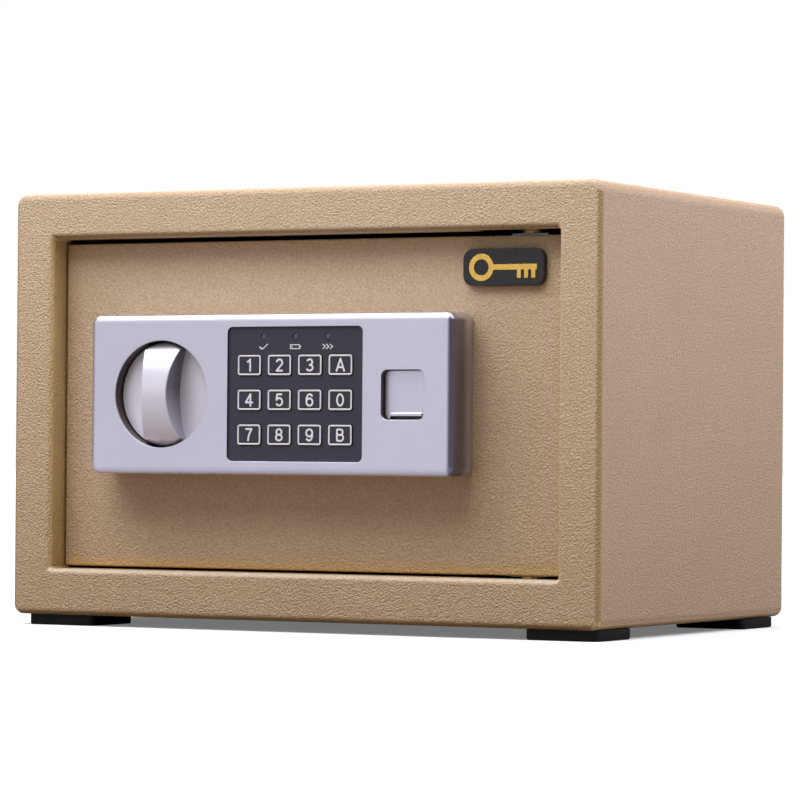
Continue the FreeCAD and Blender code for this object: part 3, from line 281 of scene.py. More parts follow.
def tint_roundings(s, low, high):
    """Tints on the rounded edges: darker ochre on the upright outer ones, a painted highlight on upward
    ones, duller along the top edge, and on downward ones painted shade at the front and painted light at
    the sides.

    The right-facing jamb gets warm painted light too. low and high are the cabinet's corners."""
    rightward, _, rise = s.facing()
    turned = s.turned_faces()
    outer = s.math("GREATER_THAN", s.math("ABSOLUTE", s.axis(0)), high.x - EDGE_REACH)
    upright = s.math("MULTIPLY", s.span(s.math("ABSOLUTE", rise), 0.05, 0.3, 0.75, 0.0), outer)
    s.tint(s.math("MULTIPLY", turned, upright), srgb(160, 130, 78))

    # Painted highlight on upward roundings, duller along the cabinet's top edge.
    top_edge = s.math("GREATER_THAN", s.axis(2), high.z - EDGE_REACH)
    upward = s.math("MULTIPLY", turned, s.span(rise, 0.05, 0.3, 0.0, 0.6))
    s.tint(upward, s.mix(top_edge, srgb(236, 218, 198), srgb(182, 148, 114)))

    # Painted light: the right-facing jamb is lighter and warmer.
    inside = s.math("LESS_THAN", s.math("ABSOLUTE", s.axis(0)), high.x - JAMB_INSET)
    jamb = s.math("MULTIPLY", inside, s.math("LESS_THAN", s.axis(1), low.y + JAMB_REACH))
    s.tint(s.math("MULTIPLY", jamb, s.span(rightward, 0.2, 0.8, 0.0, 0.75)), srgb(228, 200, 142))

    # Painted shade on downward roundings at the front, painted light on downward roundings at the sides.
    downward = s.math("MULTIPLY", turned, s.span(rise, -0.3, -0.05, 0.8, 0.0))
    on_front = s.span(s.math("ABSOLUTE", rightward), 0.05, 0.3, 1.0, 0.0)
    on_sides = s.span(s.math("ABSOLUTE", rightward), 0.05, 0.3)
    s.tint(s.math("MULTIPLY", downward, on_front), srgb(142, 118, 82))
    s.tint(s.math("MULTIPLY", downward, on_sides), srgb(252, 228, 190))


def door_coat():
    """The door's coat, with a painted ochre bounce light along the bottom edge."""
    # The wide ochre band along the door's edges is painted shade.
    s = powder_coat("door_coat", 3.6, 0.6)
    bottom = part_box("door_plate")[0].z
    # Painted bounce light: ochre, strongest at the bottom edge and fading upwards.
    painted_bounce_height = 9.0 * MM
    painted_bounce = s.span(s.axis(2), bottom, bottom + painted_bounce_height, 1.0, 0.0)
    s.tint(s.math("MULTIPLY", s.math("POWER", painted_bounce, 2.0), 0.7), srgb(216, 170, 94))
    return s.done()


def silver_paint(name, roughness, metallic=1.0, right_wall_shade=0.8):
    """Satin silver lacquer on moulded plastic. The share right_wall_shade sets the painted shade on
    right-hand walls.
    """
    s = Surface(name, srgb(228, 225, 240), roughness, metallic)
    s.rounded(0.35)
    flake = s.cells(0.22, "F1")
    s.tint(s.span(flake, 0.2, 0.8, 0.0, 0.1), srgb(170, 168, 182))
    s.tint(s.span(s.noise(30.0, 2.0), 0.35, 0.65, 0.0, 0.08), srgb(200, 197, 210))
    s.tint(s.math("MULTIPLY", s.edges(0.35, 4.0), 0.35), srgb(120, 112, 116))
    # Painted shade on right-hand walls.
    s.tint(s.math("MULTIPLY", s.span(s.facing()[0], 0.7, 0.95), right_wall_shade), srgb(92, 88, 100))
    s.vary_roughness(s.noise(0.5, 3.0), 0.04)
    s.bump(s.noise(0.35, 2.0), 0.01)
    return s


def knob_silver():
    """The knob's lacquer, with painted shade on upward faces and on the grip's right wall, which is darkest
    at its top and fades into the scoop below.
    """
    s = silver_paint("knob_silver", 0.34, 0.35, 0.0)
    rightward, _, rise = s.facing()
    # Painted shade on upward faces, which dulls their highlight.
    s.tint(s.span(rise, 0.05, 0.4, 0.0, 0.45), srgb(160, 158, 170))
    low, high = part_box("knob")
    middle = (low.z + high.z) / 2
    fade_from, fade_to = middle + 3.0 * MM, middle - 17.0 * MM
    shade = s.span(s.axis(2), fade_to, fade_from, 0.1, 0.85)
    # Painted shade on the grip's right wall, darkest at its top.
    s.tint(s.math("MULTIPLY", s.span(rightward, 0.6, 0.95), shade), srgb(84, 82, 94))
    return s.done()


def housing_silver():
    """Silver lacquer with painted shade inside each recess: past its mouth it turns brown-black and not
    metallic.

    The right-hand wall has painted shade, dark at the front and fading towards the door."""
    s = silver_paint("housing_silver", 0.38, 1.0, 0.0)
    low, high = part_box("panel_housing")
    rightward, _, rise = s.facing()
    # Painted shade on the right-hand wall, dark at the front and fading towards the door.
    wall = s.math("MULTIPLY", s.span(rightward, 0.15, 0.5), s.span(rise, 0.15, 0.5, 1.0, 0.0))
    dark_until, faded_at = low.y + 10.0 * MM, high.y - 4.0 * MM
    s.tint(s.math("MULTIPLY", wall, s.span(s.axis(1), dark_until, faded_at, 0.82, 0.1)), srgb(98, 95, 114))
    # Painted shade inside each recess, away from the outer edges: brown-black and not metallic.
    margin = 6.0 * MM
    inner = s.value(1.0)
    for axis in (0, 2):
        middle, half = (low[axis] + high[axis]) / 2, (high[axis] - low[axis]) / 2
        away = s.math("ABSOLUTE", s.math("SUBTRACT", s.axis(axis), middle))
        inner = s.math("MULTIPLY", inner, s.math("LESS_THAN", away, half - margin))
    shade_starts = low.y + 0.5 * MM
    deep = s.span(s.axis(1), shade_starts, shade_starts + 0.5 * MM)
    recess_shade = s.math("MULTIPLY", inner, deep)
    s.tint(recess_shade, srgb(62, 49, 45))
    s.feed(s.skin.inputs["Metallic"], s.math("SUBTRACT", 1.0, recess_shade))
    return s.done()


def slate(name, color, worn):
    """Dark satin film: slow tone changes and paler rubbed edges."""
    s = Surface(name, color, 0.42, specular=0.3)
    s.rounded(0.2)
    s.tint(s.span(s.noise(14.0, 2.0), 0.3, 0.7, 0.0, 0.12), srgb(40, 40, 52))
    s.tint(s.math("MULTIPLY", s.edges(0.4, 3.0), 0.3), worn)
    s.vary_roughness(s.noise(1.2, 3.0), 0.06)
    s.bump(s.noise(0.28, 2.0), 0.01)
    return s.done()


def legend_ink():
    """Raised white ink of the digits, key outlines and symbols."""
    s = Surface("legend_ink", srgb(232, 232, 240), 0.45)
    s.tint(s.span(s.noise(0.9, 3.0), 0.35, 0.65, 0.0, 0.35), srgb(206, 206, 218))
    s.vary_roughness(s.noise(0.4), 0.08)
    s.bump(s.noise(0.2, 2.0), 0.008)
    return s.done()


def nickel():
    """Polished nickel plate with fine turning marks and a few rubbed patches."""
    s = Surface("nickel", srgb(208, 208, 212), 0.2, metallic=1.0)
    s.rounded(0.25)
    rubs = s.noise(5.0, 4.0, 0.4, (0.35, 2.0, 2.0))
    s.tint(s.span(rubs, 0.45, 0.7, 0.0, 0.35), srgb(160, 158, 158))
    s.vary_roughness(rubs, 0.12)
    s.bump(s.noise(0.3, 1.0, 0.0, (6.0, 0.4, 0.4)), 0.006)
    return s.done()


def zinc():
    """Zinc plated steel: a cool spangle, rolling marks and dull edges."""
    s = Surface("zinc", srgb(178, 182, 186), 0.38, metallic=0.95)
    s.rounded(0.25)
    spangle = s.cells(7.0, "F1")
    s.tint(s.span(spangle, 0.1, 0.8, 0.0, 0.35), srgb(146, 152, 160))
    s.tint(s.math("MULTIPLY", s.edges(0.6, 3.0), 0.35), srgb(206, 204, 196))
    # Painted shade in corners and gaps.
    s.tint(s.math("MULTIPLY", s.crevices(6.0), 0.5, clamp=True), srgb(92, 88, 84))
    s.vary_roughness(s.noise(1.8, 4.0, 0.0, (0.15, 1.0, 1.0)), 0.1)
    s.bump(s.noise(0.5, 3.0, 0.0, (0.08, 1.0, 1.0)), 0.01)
    return s.done()


def brass():
    """Turned brass, a little tarnished."""
    s = Surface("brass", srgb(204, 168, 98), 0.28, metallic=1.0)
    s.rounded(0.2)
    s.tint(s.span(s.noise(3.5, 4.0), 0.4, 0.7, 0.0, 0.5), srgb(150, 112, 62))
    s.vary_roughness(s.noise(1.2, 3.0), 0.1)
    s.bump(s.noise(0.25, 2.0), 0.008)
    return s.done()


def gilt():
    """Bright gilt relief on the badge."""
    s = Surface("gilt", srgb(250, 205, 105), 0.24, metallic=0.85)
    s.rounded(0.15)
    s.tint(s.span(s.noise(1.6, 3.0), 0.4, 0.7, 0.0, 0.35), srgb(216, 164, 66))
    s.vary_roughness(s.noise(0.7, 2.0), 0.08)
    s.bump(s.noise(0.3, 2.0), 0.01)
    return s.done()


def lacquer():
    """Deep gloss black lacquer of the badge."""
    s = Surface("lacquer", srgb(30, 27, 29), 0.22)
    s.rounded(0.3)
    s.tint(s.span(s.noise(2.0, 3.0), 0.4, 0.7, 0.0, 0.3), srgb(44, 40, 42))
    s.vary_roughness(s.noise(1.0, 3.0), 0.08)
    s.bump(s.noise(0.8, 2.0), 0.02)
    return s.done()


def black_moulding():
    """Fine-grained black plastic with polished rub marks on its edges."""
    s = Surface("black_moulding", srgb(38, 38, 40), 0.5)
    s.rounded(0.3)
    s.tint(s.math("MULTIPLY", s.edges(0.8, 3.0), 0.3), srgb(78, 78, 82))
    s.vary_roughness(s.noise(6.0, 3.0), 0.08)
    s.bump(s.cells(0.5), 0.05)
    return s.done()


def foot_rubber():
    """Dull black rubber with dust in its pores."""
    s = Surface("foot_rubber", srgb(20, 17, 18), 0.75, specular=0.25)
    s.tint(s.span(s.noise(3.0, 4.0), 0.45, 0.75, 0.0, 0.25), srgb(40, 36, 36))
    s.vary_roughness(s.noise(1.5, 3.0), 0.08)
    s.bump(s.noise(0.5, 3.0), 0.05)
    return s.done()


def felt():
    """Charcoal needle felt: matted fibres with a soft sheen."""
    s = Surface("felt", srgb(52, 52, 58), 0.95, specular=0.1)
    fibre = s.noise(0.5, 4.0, 2.5, (1.0, 0.25, 1.0))
    cross = s.noise(0.6, 4.0, 2.5, (0.25, 1.0, 1.0))
    mat = s.math("ADD", fibre, cross)
    s.tint(s.span(mat, 0.8, 1.2, 0.0, 0.6), srgb(92, 92, 100))
    s.tint(s.span(s.noise(22.0, 3.0), 0.4, 0.7, 0.0, 0.3), srgb(38, 38, 44))
    s.skin.inputs["Sheen Weight"].default_value = 0.5
    s.skin.inputs["Sheen Roughness"].default_value = 0.5
    s.bump(mat, 0.35)
    return s.done()


def silicone():
    """Grey silicone of the key mat."""
    s = Surface("silicone", srgb(150, 150, 154), 0.5)
    s.tint(s.span(s.noise(5.0), 0.3, 0.7, 0.0, 0.3), srgb(130, 130, 136))
    s.vary_roughness(s.noise(2.0), 0.06)
    s.bump(s.noise(0.4, 2.0), 0.02)
    return s.done()


def solder_mask():
    """Green board with darker routed tracks."""
    s = Surface("solder_mask", srgb(28, 92, 52), 0.3)
    tracks = s.cells(3.0, "DISTANCE_TO_EDGE")
    s.tint(s.span(tracks, 0.03, 0.06, 0.5, 0.0), srgb(70, 140, 84))
    s.vary_roughness(s.noise(3.0), 0.06)
    s.bump(tracks, 0.02)
    return s.done()


def lamp_lens():
    """Unlit smoked lens, almost as dark as the film round it."""
    s = Surface("lamp_lens", srgb(84, 80, 88), 0.25)
    s.tint(s.span(s.noise(0.8, 2.0), 0.3, 0.7, 0.0, 0.5), srgb(62, 60, 70))
    s.vary_roughness(s.noise(0.5), 0.05)
    s.bump(s.noise(0.5), 0.02)
    return s.done()


def coil_tape():
    """Copper winding under amber tape."""
    s = Surface("coil_tape", srgb(140, 84, 34), 0.3)
    turns = s.noise(0.5, 0.0, 0.0, (0.05, 0.05, 1.0))
    s.tint(s.span(turns, 0.4, 0.6, 0.0, 0.6), srgb(86, 46, 18))
    s.vary_roughness(s.noise(2.0), 0.08)
    s.bump(turns, 0.06)
    return s.done()


def cell_jacket():
    """Foil jacket of an AA cell: dark, with a copper band at one end, and bare steel caps."""
    low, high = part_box("battery_cells")
    s = Surface("cell_jacket", srgb(34, 36, 42), 0.28, metallic=0.4)
    up = s.span(s.axis(2), low.z, high.z)
    s.tint(s.span(up, 0.68, 0.69), srgb(186, 116, 60))
    s.tint(s.span(s.math("ABSOLUTE", s.math("SUBTRACT", up, 0.5)), 0.455, 0.46), srgb(190, 190, 194))
    s.vary_roughness(s.noise(4.0, 3.0), 0.06)
    s.bump(s.noise(1.0, 2.0), 0.01)
    return s.done()


def red_cap():
    """Glossy red plastic of the reset button."""
    s = Surface("red_cap", srgb(190, 30, 28), 0.3)
    s.rounded(0.3)
    s.tint(s.span(s.noise(3.0, 3.0), 0.4, 0.7, 0.0, 0.3), srgb(150, 20, 20))
    s.vary_roughness(s.noise(1.5, 2.0), 0.08)
    s.bump(s.noise(0.8, 2.0), 0.015)
    return s.done()


def cable_jacket():
    """Red and black insulation of the wires."""
    s = Surface("cable_jacket", srgb(70, 14, 16), 0.4)
    s.tint(s.span(s.noise(4.0, 2.0), 0.4, 0.6, 0.0, 0.5), srgb(28, 26, 28))
    s.vary_roughness(s.noise(2.0), 0.08)
    s.bump(s.noise(0.6, 2.0), 0.02)
    return s.done()


def weld_metal():
    """Coated weld: the same beige, rougher and with rippled heat marks."""
    s = Surface("weld_metal", srgb(184, 154, 118), 0.5)
    s.tint(s.span(s.noise(1.5, 3.0), 0.4, 0.7, 0.0, 0.5), srgb(150, 120, 84))
    s.vary_roughness(s.noise(0.8, 3.0), 0.08)
    s.bump(s.noise(0.7, 3.0), 0.1)
    return s.done()


FINISHES = {
    "body_paint": powder_coat("powder_coat", 1.6, 0.2).done(),
    "bright_steel": nickel(),
    "zinc_steel": zinc(),
    "brass": brass(),
    "panel_silver": silver_paint("silver_paint", 0.38).done(),
    "fascia_slate": slate("fascia_film", srgb(58, 57, 71), srgb(98, 98, 112)),
    "key_slate": slate("key_film", srgb(54, 53, 67), srgb(90, 90, 104)),
    "silicone": silicone(),
    "board_green": solder_mask(),
    "lamp_lens": lamp_lens(),
    "foot_rubber": foot_rubber(),
    "felt": felt(),
    "badge_black": lacquer(),
    "badge_gold": gilt(),
    "coil_tape": coil_tape(),
    "black_plastic": black_moulding(),
    "cell_jacket": cell_jacket(),
    "red_plastic": red_cap(),
    "cable_jacket": cable_jacket(),
}
SPECIAL_FINISHES = {
    "door_plate": door_coat(),
    "knob": knob_silver(),
    "panel_housing": housing_silver(),
}
INK = legend_ink()
WELD = weld_metal()


def dress_cad_nodes():
    """Gives every CAD node its finish."""
    for part in frame["record"]["subparts"]:
        node = frame["nodes"][part["node"]]
        finish = SPECIAL_FINISHES.get(part["node"], FINISHES[part["material_slot"]])
        for index in range(len(node.material_slots)):
            node.material_slots[index].material = finish


# ---------------------------------------------------------------- mesh building
def add_piece(name, bm, body, material, smooth=True):
    """Turns the bmesh into an object that rides on the body."""
    bmesh.ops.recalc_face_normals(bm, faces=bm.faces)
    mesh = bpy.data.meshes.new(name)
    bm.to_mesh(mesh)
    bm.free()
    piece = bpy.data.objects.new(name, mesh)
    bpy.context.scene.collection.objects.link(piece)
    mesh.materials.append(material)
    if smooth:
        mesh.shade_smooth()
        mesh.set_sharp_from_angle(angle=SMOOTH_ANGLE)
    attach(piece, body)
    return piece


def rounded_loop(width, height, radius, steps=6):
    """Points of a round-cornered rectangle about the origin, anticlockwise."""
    radius = max(radius, 0.02 * MM)
    points = []
    corners = ((1, 1, 0), (-1, 1, 90), (-1, -1, 180), (1, -1, 270))
    for side_x, side_y, start in corners:
        for i in range(steps + 1):
            angle = math.radians(start + 90 * i / steps)
            points.append((
                side_x * (width / 2 - radius) + radius * math.cos(angle),
                side_y * (height / 2 - radius) + radius * math.sin(angle),
            ))
    return points


def bridge(bm, loops, closed=False):
    """Skins rings of vertices, in order. A closed skin joins the last ring to the first."""
    pairs = list(zip(loops, loops[1:]))
    if closed:
        pairs.append((loops[-1], loops[0]))
    for a, b in pairs:
        for i in range(len(a)):
            j = (i + 1) % len(a)
            bm.faces.new((a[i], a[j], b[j], b[i]))


def front_frame(bm, centre, width, height, radius, profile):
    """A raised rim that faces the front. The profile is a closed list of (inset, how proud) pairs."""
    loops = []
    for inset, proud in profile:
        points = rounded_loop(width - 2 * inset, height - 2 * inset, radius - inset)
        loops.append([bm.verts.new((centre.x + x, centre.y - proud, centre.z + z)) for x, z in points])
    bridge(bm, loops, closed=True)


def arc(x, z, half_w, half_h, start, end, steps=14):
    """Points along an ellipse, from one angle to another, in degrees."""
    angles = [math.radians(start + (end - start) * i / steps) for i in range(steps + 1)]
    return [(x + half_w * math.cos(a), z + half_h * math.sin(a)) for a in angles]


def turned(strokes):
    """The same strokes after half a turn."""
    return [[(-x, -z) for x, z in line] for line in strokes]


def stroke_patches(line, width):
    """A bar for each straight stretch of the line, and a disc at each bend. Lengths are in millimetres."""
    shortest = 0.01
    patches = []
    for (x0, z0), (x1, z1) in zip(line, line[1:]):
        length = math.hypot(x1 - x0, z1 - z0)
        if length < shortest:
            continue
        across_x, across_z = -(z1 - z0) / length * width / 2, (x1 - x0) / length * width / 2
        patches.append([
            (x0 - across_x, z0 - across_z), (x1 - across_x, z1 - across_z),
            (x1 + across_x, z1 + across_z), (x0 + across_x, z0 + across_z),
        ])
    closed = math.dist(line[0], line[-1]) < shortest
    bends = line if closed else line[1:-1]
    for x, z in bends:
        patches.append(arc(x, z, width / 2, width / 2, 0, 330, 11))
    return patches


def print_strokes(bm, centre, strokes, width, y0, y1):
    """Raised print that faces the front, from y0 to y1. The strokes are in millimetres about the centre."""
    points, faces = [], []
    for line in strokes:
        for patch in stroke_patches(line, width):
            start = len(points)
            points += [Vector(point) for point in patch]
            faces.append(list(range(start, start + len(patch))))
    keep_inside, weld_distance = 1, 0.003
    flat, _, triangles, _, _, sources = delaunay_2d_cdt(points, [], faces, keep_inside, weld_distance)
    triangles = [triangle for triangle, source in zip(triangles, sources) if source]
    near = [bm.verts.new((centre.x + p.x * MM, y0, centre.z + p.y * MM)) for p in flat]
    far = [bm.verts.new((v.co.x, y1, v.co.z)) for v in near]
    walls = {}
    for triangle in triangles:
        bm.faces.new([near[i] for i in triangle])
        bm.faces.new([far[i] for i in reversed(triangle)])
        for i, j in zip(triangle, triangle[1:] + triangle[:1]):
            walls[i, j] = True
    for i, j in walls:
        if (j, i) not in walls:
            bm.faces.new((near[j], near[i], far[i], far[j]))
    loose = [v for v in bm.verts if not v.link_faces]
    bmesh.ops.delete(bm, geom=loose, context="VERTS")


# Strokes of each legend, in millimetres: digits and letters are 6 mm high.
SIX = [arc(0, -0.95, 1.6, 1.65, 0, 360, 28), arc(0.1, 0, 1.7, 2.6, 38, 180) + [(-1.6, -0.95)]]
BOWL_TOP = [(-1.5, 2.58), (0.3, 2.58)] + arc(0.3, 1.35, 1.2, 1.23, 90, -90) + [(-1.5, 0.12)]
BOWL_LOW = [(-1.5, 0.12), (0.4, 0.12)] + arc(0.4, -1.23, 1.4, 1.35, 90, -90) + [(-1.5, -2.58)]
LEGENDS = {
    "0": [arc(0, 0, 1.6, 2.58, 0, 360, 32)],
    "1": [[(0.45, -3.0), (0.45, 3.0)], [(0.4, 2.6), (-0.3, 1.9), (-1.2, 1.4)]],
    "2": [arc(0, 1.1, 1.5, 1.48, 170, -25) + [(-1.5, -2.58), (1.75, -2.58)]],
    "3": [arc(-0.1, 1.3, 1.4, 1.28, 160, -90) + arc(-0.1, -1.25, 1.65, 1.33, 80, -160)],
    "4": [[(0.75, -3.0), (0.75, 3.0)], [(0.75, 2.7), (-1.75, -1.15), (2.1, -1.15)]],
    "5": [[(1.5, 2.58), (-1.05, 2.58), (-1.42, 0.0)] + arc(0, -0.85, 1.65, 1.73, 138, -155)],
    "6": SIX,
    "7": [[(-1.75, 2.58), (1.55, 2.58), (0.55, 0.9), (-0.1, -0.9), (-0.4, -3.0)]],
    "8": [arc(0, 1.3, 1.35, 1.28, 0, 360, 24), arc(0, -1.25, 1.6, 1.33, 0, 360, 28)],
    "9": turned(SIX),
    "a": [[(-2.1, -3.0), (0, 2.75), (2.1, -3.0)], [(-1.35, -1.1), (1.35, -1.1)]],
    "b": [[(-1.5, -2.58), (-1.5, 2.58)], BOWL_TOP, BOWL_LOW],
}
# Symbols under the lamps, in millimetres: a tick, a low battery and a row of arrows.
TICK = [[(-2.2, 0.1), (-0.8, -1.1), (2.2, 1.3)]]
BATTERY = [
    [(-2.6, -0.9), (-2.6, 0.9), (2.2, 0.9), (2.2, -0.9), (-2.6, -0.9)],
    [(2.75, -0.4), (2.75, 0.4)], [(-1.8, -0.45), (-1.8, 0.45)],
]
ARROWS = [[(x, 1.1), (x + 1.5, 0), (x, -1.1)] for x in (-2.6, -0.7, 1.2)]


# ---------------------------------------------------------------- pieces
def key_prints():
    """On each key, a raised white outline and its digit or letter.

    A key's node is key_ and one character, and its hidden skirt is wider than the cap that shows."""
    skirt = 0.7 * MM
    for node in frame["nodes"]:
        if not node.startswith("key_") or len(node) != len("key_") + 1:
            continue
        low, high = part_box(node)
        width = high.x - low.x - 2 * skirt
        height = high.z - low.z - 2 * skirt
        centre = Vector(((low.x + high.x) / 2, low.y, (low.z + high.z) / 2))
        body = node + "_cap"
        bm = bmesh.new()
        rim, proud = 0.85 * MM, 0.16 * MM
        profile = (
            (0.1 * MM, -0.1 * MM), (0.12 * MM, proud * 0.5), (0.3 * MM, proud),
            (rim - 0.15 * MM, proud), (rim, proud * 0.4), (rim, -0.1 * MM),
        )
        front_frame(bm, centre, width, height, 1.3 * MM, profile)
        add_piece(node + "_outline", bm, body, INK)
        bm = bmesh.new()
        stroke = 0.86
        print_strokes(bm, centre, LEGENDS[node[-1]], stroke, centre.y - 0.14 * MM, centre.y + 0.05 * MM)
        add_piece(node + "_legend", bm, body, INK, smooth=False)


def lamp_symbols():
    """Under each lamp, its symbol."""
    low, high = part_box("indicator_leds")
    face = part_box("keypad_fascia")[0].y
    lamp_size = high.z - low.z
    pitch = (high.x - low.x - lamp_size) / 2
    drop, stroke, ink = 3.0 * MM, 0.42, 0.05 * MM
    middle = Vector(((low.x + high.x) / 2, face, low.z - drop))
    bm = bmesh.new()
    for step, symbol in ((-1, TICK), (0, BATTERY), (1, ARROWS)):
        place = middle + Vector((step * pitch, 0, 0))
        print_strokes(bm, place, symbol, stroke, face - ink, face + ink)
    add_piece("lamp_symbols", bm, "door", INK, smooth=False)


def rubber_feet():
    """Four moulded feet with bevelled rims and square tread grooves underneath."""
    low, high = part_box("rubber_feet")
    size = 36.0 * MM
    corner, least_corner = 2.5 * MM, 0.4 * MM
    grooves, first, pitch = 4, 3.2 * MM, 3.6 * MM
    groove_width, slope, depth = 1.6 * MM, 0.4 * MM, 0.8 * MM
    section = [(0.0, high.z), (0.0, 0.9 * MM), (0.35 * MM, 0.2 * MM), (0.9 * MM, 0.0)]
    for i in range(grooves):
        inset = first + pitch * i
        end = inset + groove_width
        section += [(inset, 0.0), (inset + slope, depth), (end - slope, depth), (end, 0.0)]
    bm = bmesh.new()
    for x in (low.x + size / 2, high.x - size / 2):
        for y in (low.y + size / 2, high.y - size / 2):
            loops = []
            for inset, z in section:
                side = size - 2 * inset
                points = rounded_loop(side, side, max(corner - inset, least_corner))
                loops.append([bm.verts.new((x + dx, y + dy, z)) for dx, dy in points])
            bridge(bm, loops)
            bm.faces.new(loops[0])
            bm.faces.new(list(reversed(loops[-1])))
    feet = add_piece("moulded_feet", bm, "cabinet", FINISHES["foot_rubber"])
    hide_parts("rubber_feet")


def felt_lining():
    """The floor's felt: a matted sheet with soft edges, a slight wave and a hole over each anchor."""
    low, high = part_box("floor_mat")
    spacing = 2.0 * MM
    columns = int((high.x - low.x) / spacing)
    rows = int((high.y - low.y) / spacing)
    hole_x, hole_from_front, hole_r = 70.0 * MM, 82.0 * MM, 11.0 * MM
    holes = [Vector((side * hole_x, low.y + hole_from_front)) for side in (-1, 1)]
    rim_share, soft_reach = 0.35, 3.0 * MM

    def pulled(x, y):
        """Moves a point that falls in a hole out to the hole's rim."""
        point = Vector((x, y))
        for hole in holes:
            away = point - hole
            if away.length < hole_r:
                point = hole + (away.normalized() if away.length > 0 else Vector((1, 0))) * hole_r
        return point

    def inside_hole(x, y):
        """True if the point lies too deep in a hole to be pulled to its rim."""
        return any((Vector((x, y)) - hole).length < hole_r - spacing * 0.8 for hole in holes)

    bm = bmesh.new()
    top, bottom = {}, {}
    for i in range(columns + 1):
        for j in range(rows + 1):
            x = low.x + (high.x - low.x) * i / columns
            y = low.y + (high.y - low.y) * j / rows
            if inside_hole(x, y):
                continue
            point = pulled(x, y)
            rim = min(point.x - low.x, high.x - point.x, point.y - low.y, high.y - point.y)
            rim = min([rim] + [(point - hole).length - hole_r for hole in holes])
            soft = min(1.0, rim_share + rim / soft_reach)
            fuzz = noise.noise(Vector((point.x, point.y, 0)) * 420) * 0.16 * MM
            fuzz += noise.noise(Vector((point.x, point.y, 0.3)) * 28) * 0.12 * MM
            top[i, j] = bm.verts.new((point.x, point.y, low.z + (high.z - low.z) * soft + fuzz))
            bottom[i, j] = bm.verts.new((point.x, point.y, low.z + 0.02 * MM))
    for i in range(columns):
        for j in range(rows):
            corners = ((i, j), (i + 1, j), (i + 1, j + 1), (i, j + 1))
            if all(c in top for c in corners):
                bm.faces.new([top[c] for c in corners])
                bm.faces.new([bottom[c] for c in reversed(corners)])
    rims = [e for e in bm.edges if e.is_boundary]
    over = {v: k for k, v in top.items()}
    for edge in rims:
        a, b = edge.verts
        if a in over and b in over:
            bm.faces.new((a, b, bottom[over[b]], bottom[over[a]]))
    lining = add_piece("felt_lining", bm, "cabinet", FINISHES["felt"])
    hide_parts("floor_mat")


def weld_dot(bm, centre, across, up, out, radius):
    """One spot weld: a shallow dished disc with a raised rim.

    Its section is a list of pairs: the share of the radius, and the height in millimetres."""
    steps = 16
    section = ((1.0, -0.1), (0.92, 0.10), (0.75, 0.14), (0.6, 0.03), (0.25, 0.0))
    loops = []
    for share, proud in section:
        ring = []
        for i in range(steps):
            angle = 2 * math.pi * i / steps
            spot = centre + (across * math.cos(angle) + up * math.sin(angle)) * radius * share
            ring.append(bm.verts.new(spot + out * proud * MM))
        loops.append(ring)
    bridge(bm, loops)
    bm.faces.new(loops[-1])
    bm.faces.new(list(reversed(loops[0])))


def rear_spot_welds():
    """A row of spot welds round the rear flange."""
    low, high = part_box("body_shell")
    inset, radius = 8.5 * MM, 2.4 * MM
    x0, x1, z0, z1 = low.x + inset, high.x - inset, low.z + inset, high.z - inset
    bm = bmesh.new()
    across, up, out = Vector((1, 0, 0)), Vector((0, 0, 1)), Vector((0, 1, 0))
    count_x, count_z = 9, 6
    spots = []
    for i in range(count_x):
        x = x0 + (x1 - x0) * i / (count_x - 1)
        spots += [(x, z0), (x, z1)]
    for i in range(1, count_z - 1):
        z = z0 + (z1 - z0) * i / (count_z - 1)
        spots += [(x0, z), (x1, z)]
    for x, z in spots:
        weld_dot(bm, Vector((x, high.y, z)), across, up, out, radius)
    add_piece("rear_spot_welds", bm, "cabinet", WELD)


# ---------------------------------------------------------------- stage
def studio_floor():
    """White floor that fades into the white surroundings, so that no horizon shows."""
    size = FLOOR_HALF_SIZE
    mesh = bpy.data.meshes.new("studio_floor")
    corners = [(-size, -size, 0), (size, -size, 0), (size, size, 0), (-size, size, 0)]
    mesh.from_pydata(corners, [], [(0, 1, 2, 3)])
    floor = bpy.data.objects.new("studio_floor", mesh)
    bpy.context.scene.collection.objects.link(floor)
    s = Surface("studio_white", FLOOR_WHITE, 0.85, specular=0.0)
    s.vary_roughness(s.noise(400.0), 0.02)
    mesh.materials.append(s.done())
    reach = s.node("ShaderNodeVectorMath", operation="LENGTH")
    s.feed(reach.inputs[0], s.place)
    far = s.span(reach.outputs["Value"], FLOOR_FADE_FROM, FLOOR_FADE_TO, SHADOW_FLOOR_LEVEL, 1.0)
    path = s.node("ShaderNodeLightPath")
    seen = path.outputs["Is Camera Ray"]
    bounce = s.mix(path.outputs["Is Glossy Ray"], FLOOR_BOUNCE, FLOOR_GLOSS)
    s.feed(s.skin.inputs["Base Color"], s.mix(seen, bounce, s.color))
    s.skin.inputs["Emission Color"].default_value = (1, 1, 1, 1)
    s.feed(s.skin.inputs["Emission Strength"], s.math("MULTIPLY", far, seen))


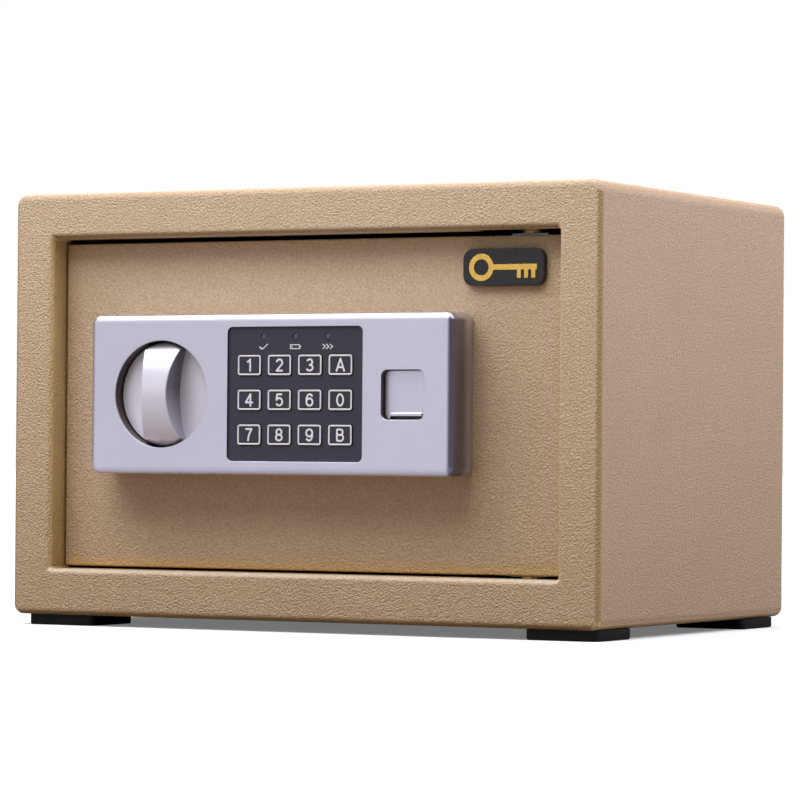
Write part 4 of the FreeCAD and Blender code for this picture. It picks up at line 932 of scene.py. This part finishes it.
def studio_world():
    """Surroundings that look white. As light, they are bright at the front left and dark at the right."""
    world = bpy.data.worlds.new("studio")
    bpy.context.scene.world = world
    world.use_nodes = True
    tree = world.node_tree

    def node(kind, **settings):
        made = tree.nodes.new(kind)
        for name, value in settings.items():
            setattr(made, name, value)
        return made

    def lobe(direction, low, high, strength):
        """Brightness that grows from one cosine to another about a direction."""
        dot = node("ShaderNodeVectorMath", operation="DOT_PRODUCT")
        tree.links.new(place.outputs["Generated"], dot.inputs[0])
        dot.inputs[1].default_value = Vector(direction).normalized()
        ramp = node("ShaderNodeMapRange", interpolation_type="SMOOTHSTEP")
        for socket, value in zip(ramp.inputs[1:5], (low, high, 0.0, strength)):
            socket.default_value = value
        tree.links.new(dot.outputs["Value"], ramp.inputs[0])
        return ramp.outputs[0]

    place = node("ShaderNodeTexCoord")
    total = None
    for direction, low, high, strength in WORLD_LOBES:
        part = lobe(direction, low, high, strength)
        if total is not None:
            both = node("ShaderNodeMath", operation="ADD")
            tree.links.new(total, both.inputs[0])
            tree.links.new(part, both.inputs[1])
            part = both.outputs[0]
        total = part
    lit = tree.nodes["Background"]
    lit.inputs["Color"].default_value = WORLD_LIGHT
    tree.links.new(total, lit.inputs["Strength"])
    seen = node("ShaderNodeBackground")
    seen.inputs["Color"].default_value = (1, 1, 1, 1)
    seen.inputs["Strength"].default_value = 1.0
    mix = node("ShaderNodeMixShader")
    tree.links.new(node("ShaderNodeLightPath").outputs["Is Camera Ray"], mix.inputs[0])
    tree.links.new(lit.outputs[0], mix.inputs[1])
    tree.links.new(seen.outputs[0], mix.inputs[2])
    tree.links.new(mix.outputs[0], tree.nodes["World Output"].inputs[0])


def soft_box(name, place, size, power, color):
    """A rectangular area light that points at the safe."""
    light = bpy.data.lights.new(name, "AREA")
    light.shape = "RECTANGLE"
    light.size, light.size_y = size
    light.energy = power
    light.color = color
    lamp = bpy.data.objects.new(name, light)
    bpy.context.scene.collection.objects.link(lamp)
    lamp.location = place
    lamp.rotation_euler = (Vector(LIGHT_AIM) - Vector(place)).to_track_quat("-Z", "Y").to_euler()


def camera():
    """The lens looks level along the yaw, tipped by the pitch and rolled by the roll."""
    yaw, pitch, roll = CAMERA_YAW, CAMERA_PITCH, CAMERA_ROLL
    ahead = Vector((-math.sin(yaw) * math.cos(pitch), math.cos(yaw) * math.cos(pitch), math.sin(pitch)))
    side = Vector((math.cos(yaw), math.sin(yaw), 0))
    down = ahead.cross(side)
    across = side * math.cos(roll) + down * math.sin(roll)
    below = -side * math.sin(roll) + down * math.cos(roll)
    turn = Matrix((across, -below, -ahead)).transposed()
    front_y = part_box("body_shell")[0].y
    lens = bpy.data.cameras.new("camera")
    lens.lens = LENS_MM
    lens.sensor_width = 36.0
    holder = bpy.data.objects.new("camera", lens)
    bpy.context.scene.collection.objects.link(holder)
    holder.matrix_world = Matrix.Translation(CAMERA_FROM_FRONT + Vector((0, front_y, 0))) @ turn.to_4x4()
    bpy.context.scene.camera = holder


dress_cad_nodes()
key_prints()
lamp_symbols()
rubber_feet()
felt_lining()
rear_spot_welds()
studio_floor()
studio_world()
for soft_box_values in SOFT_BOXES:
    soft_box(*soft_box_values)
camera()
bpy.context.scene.view_settings.view_transform = "Standard"
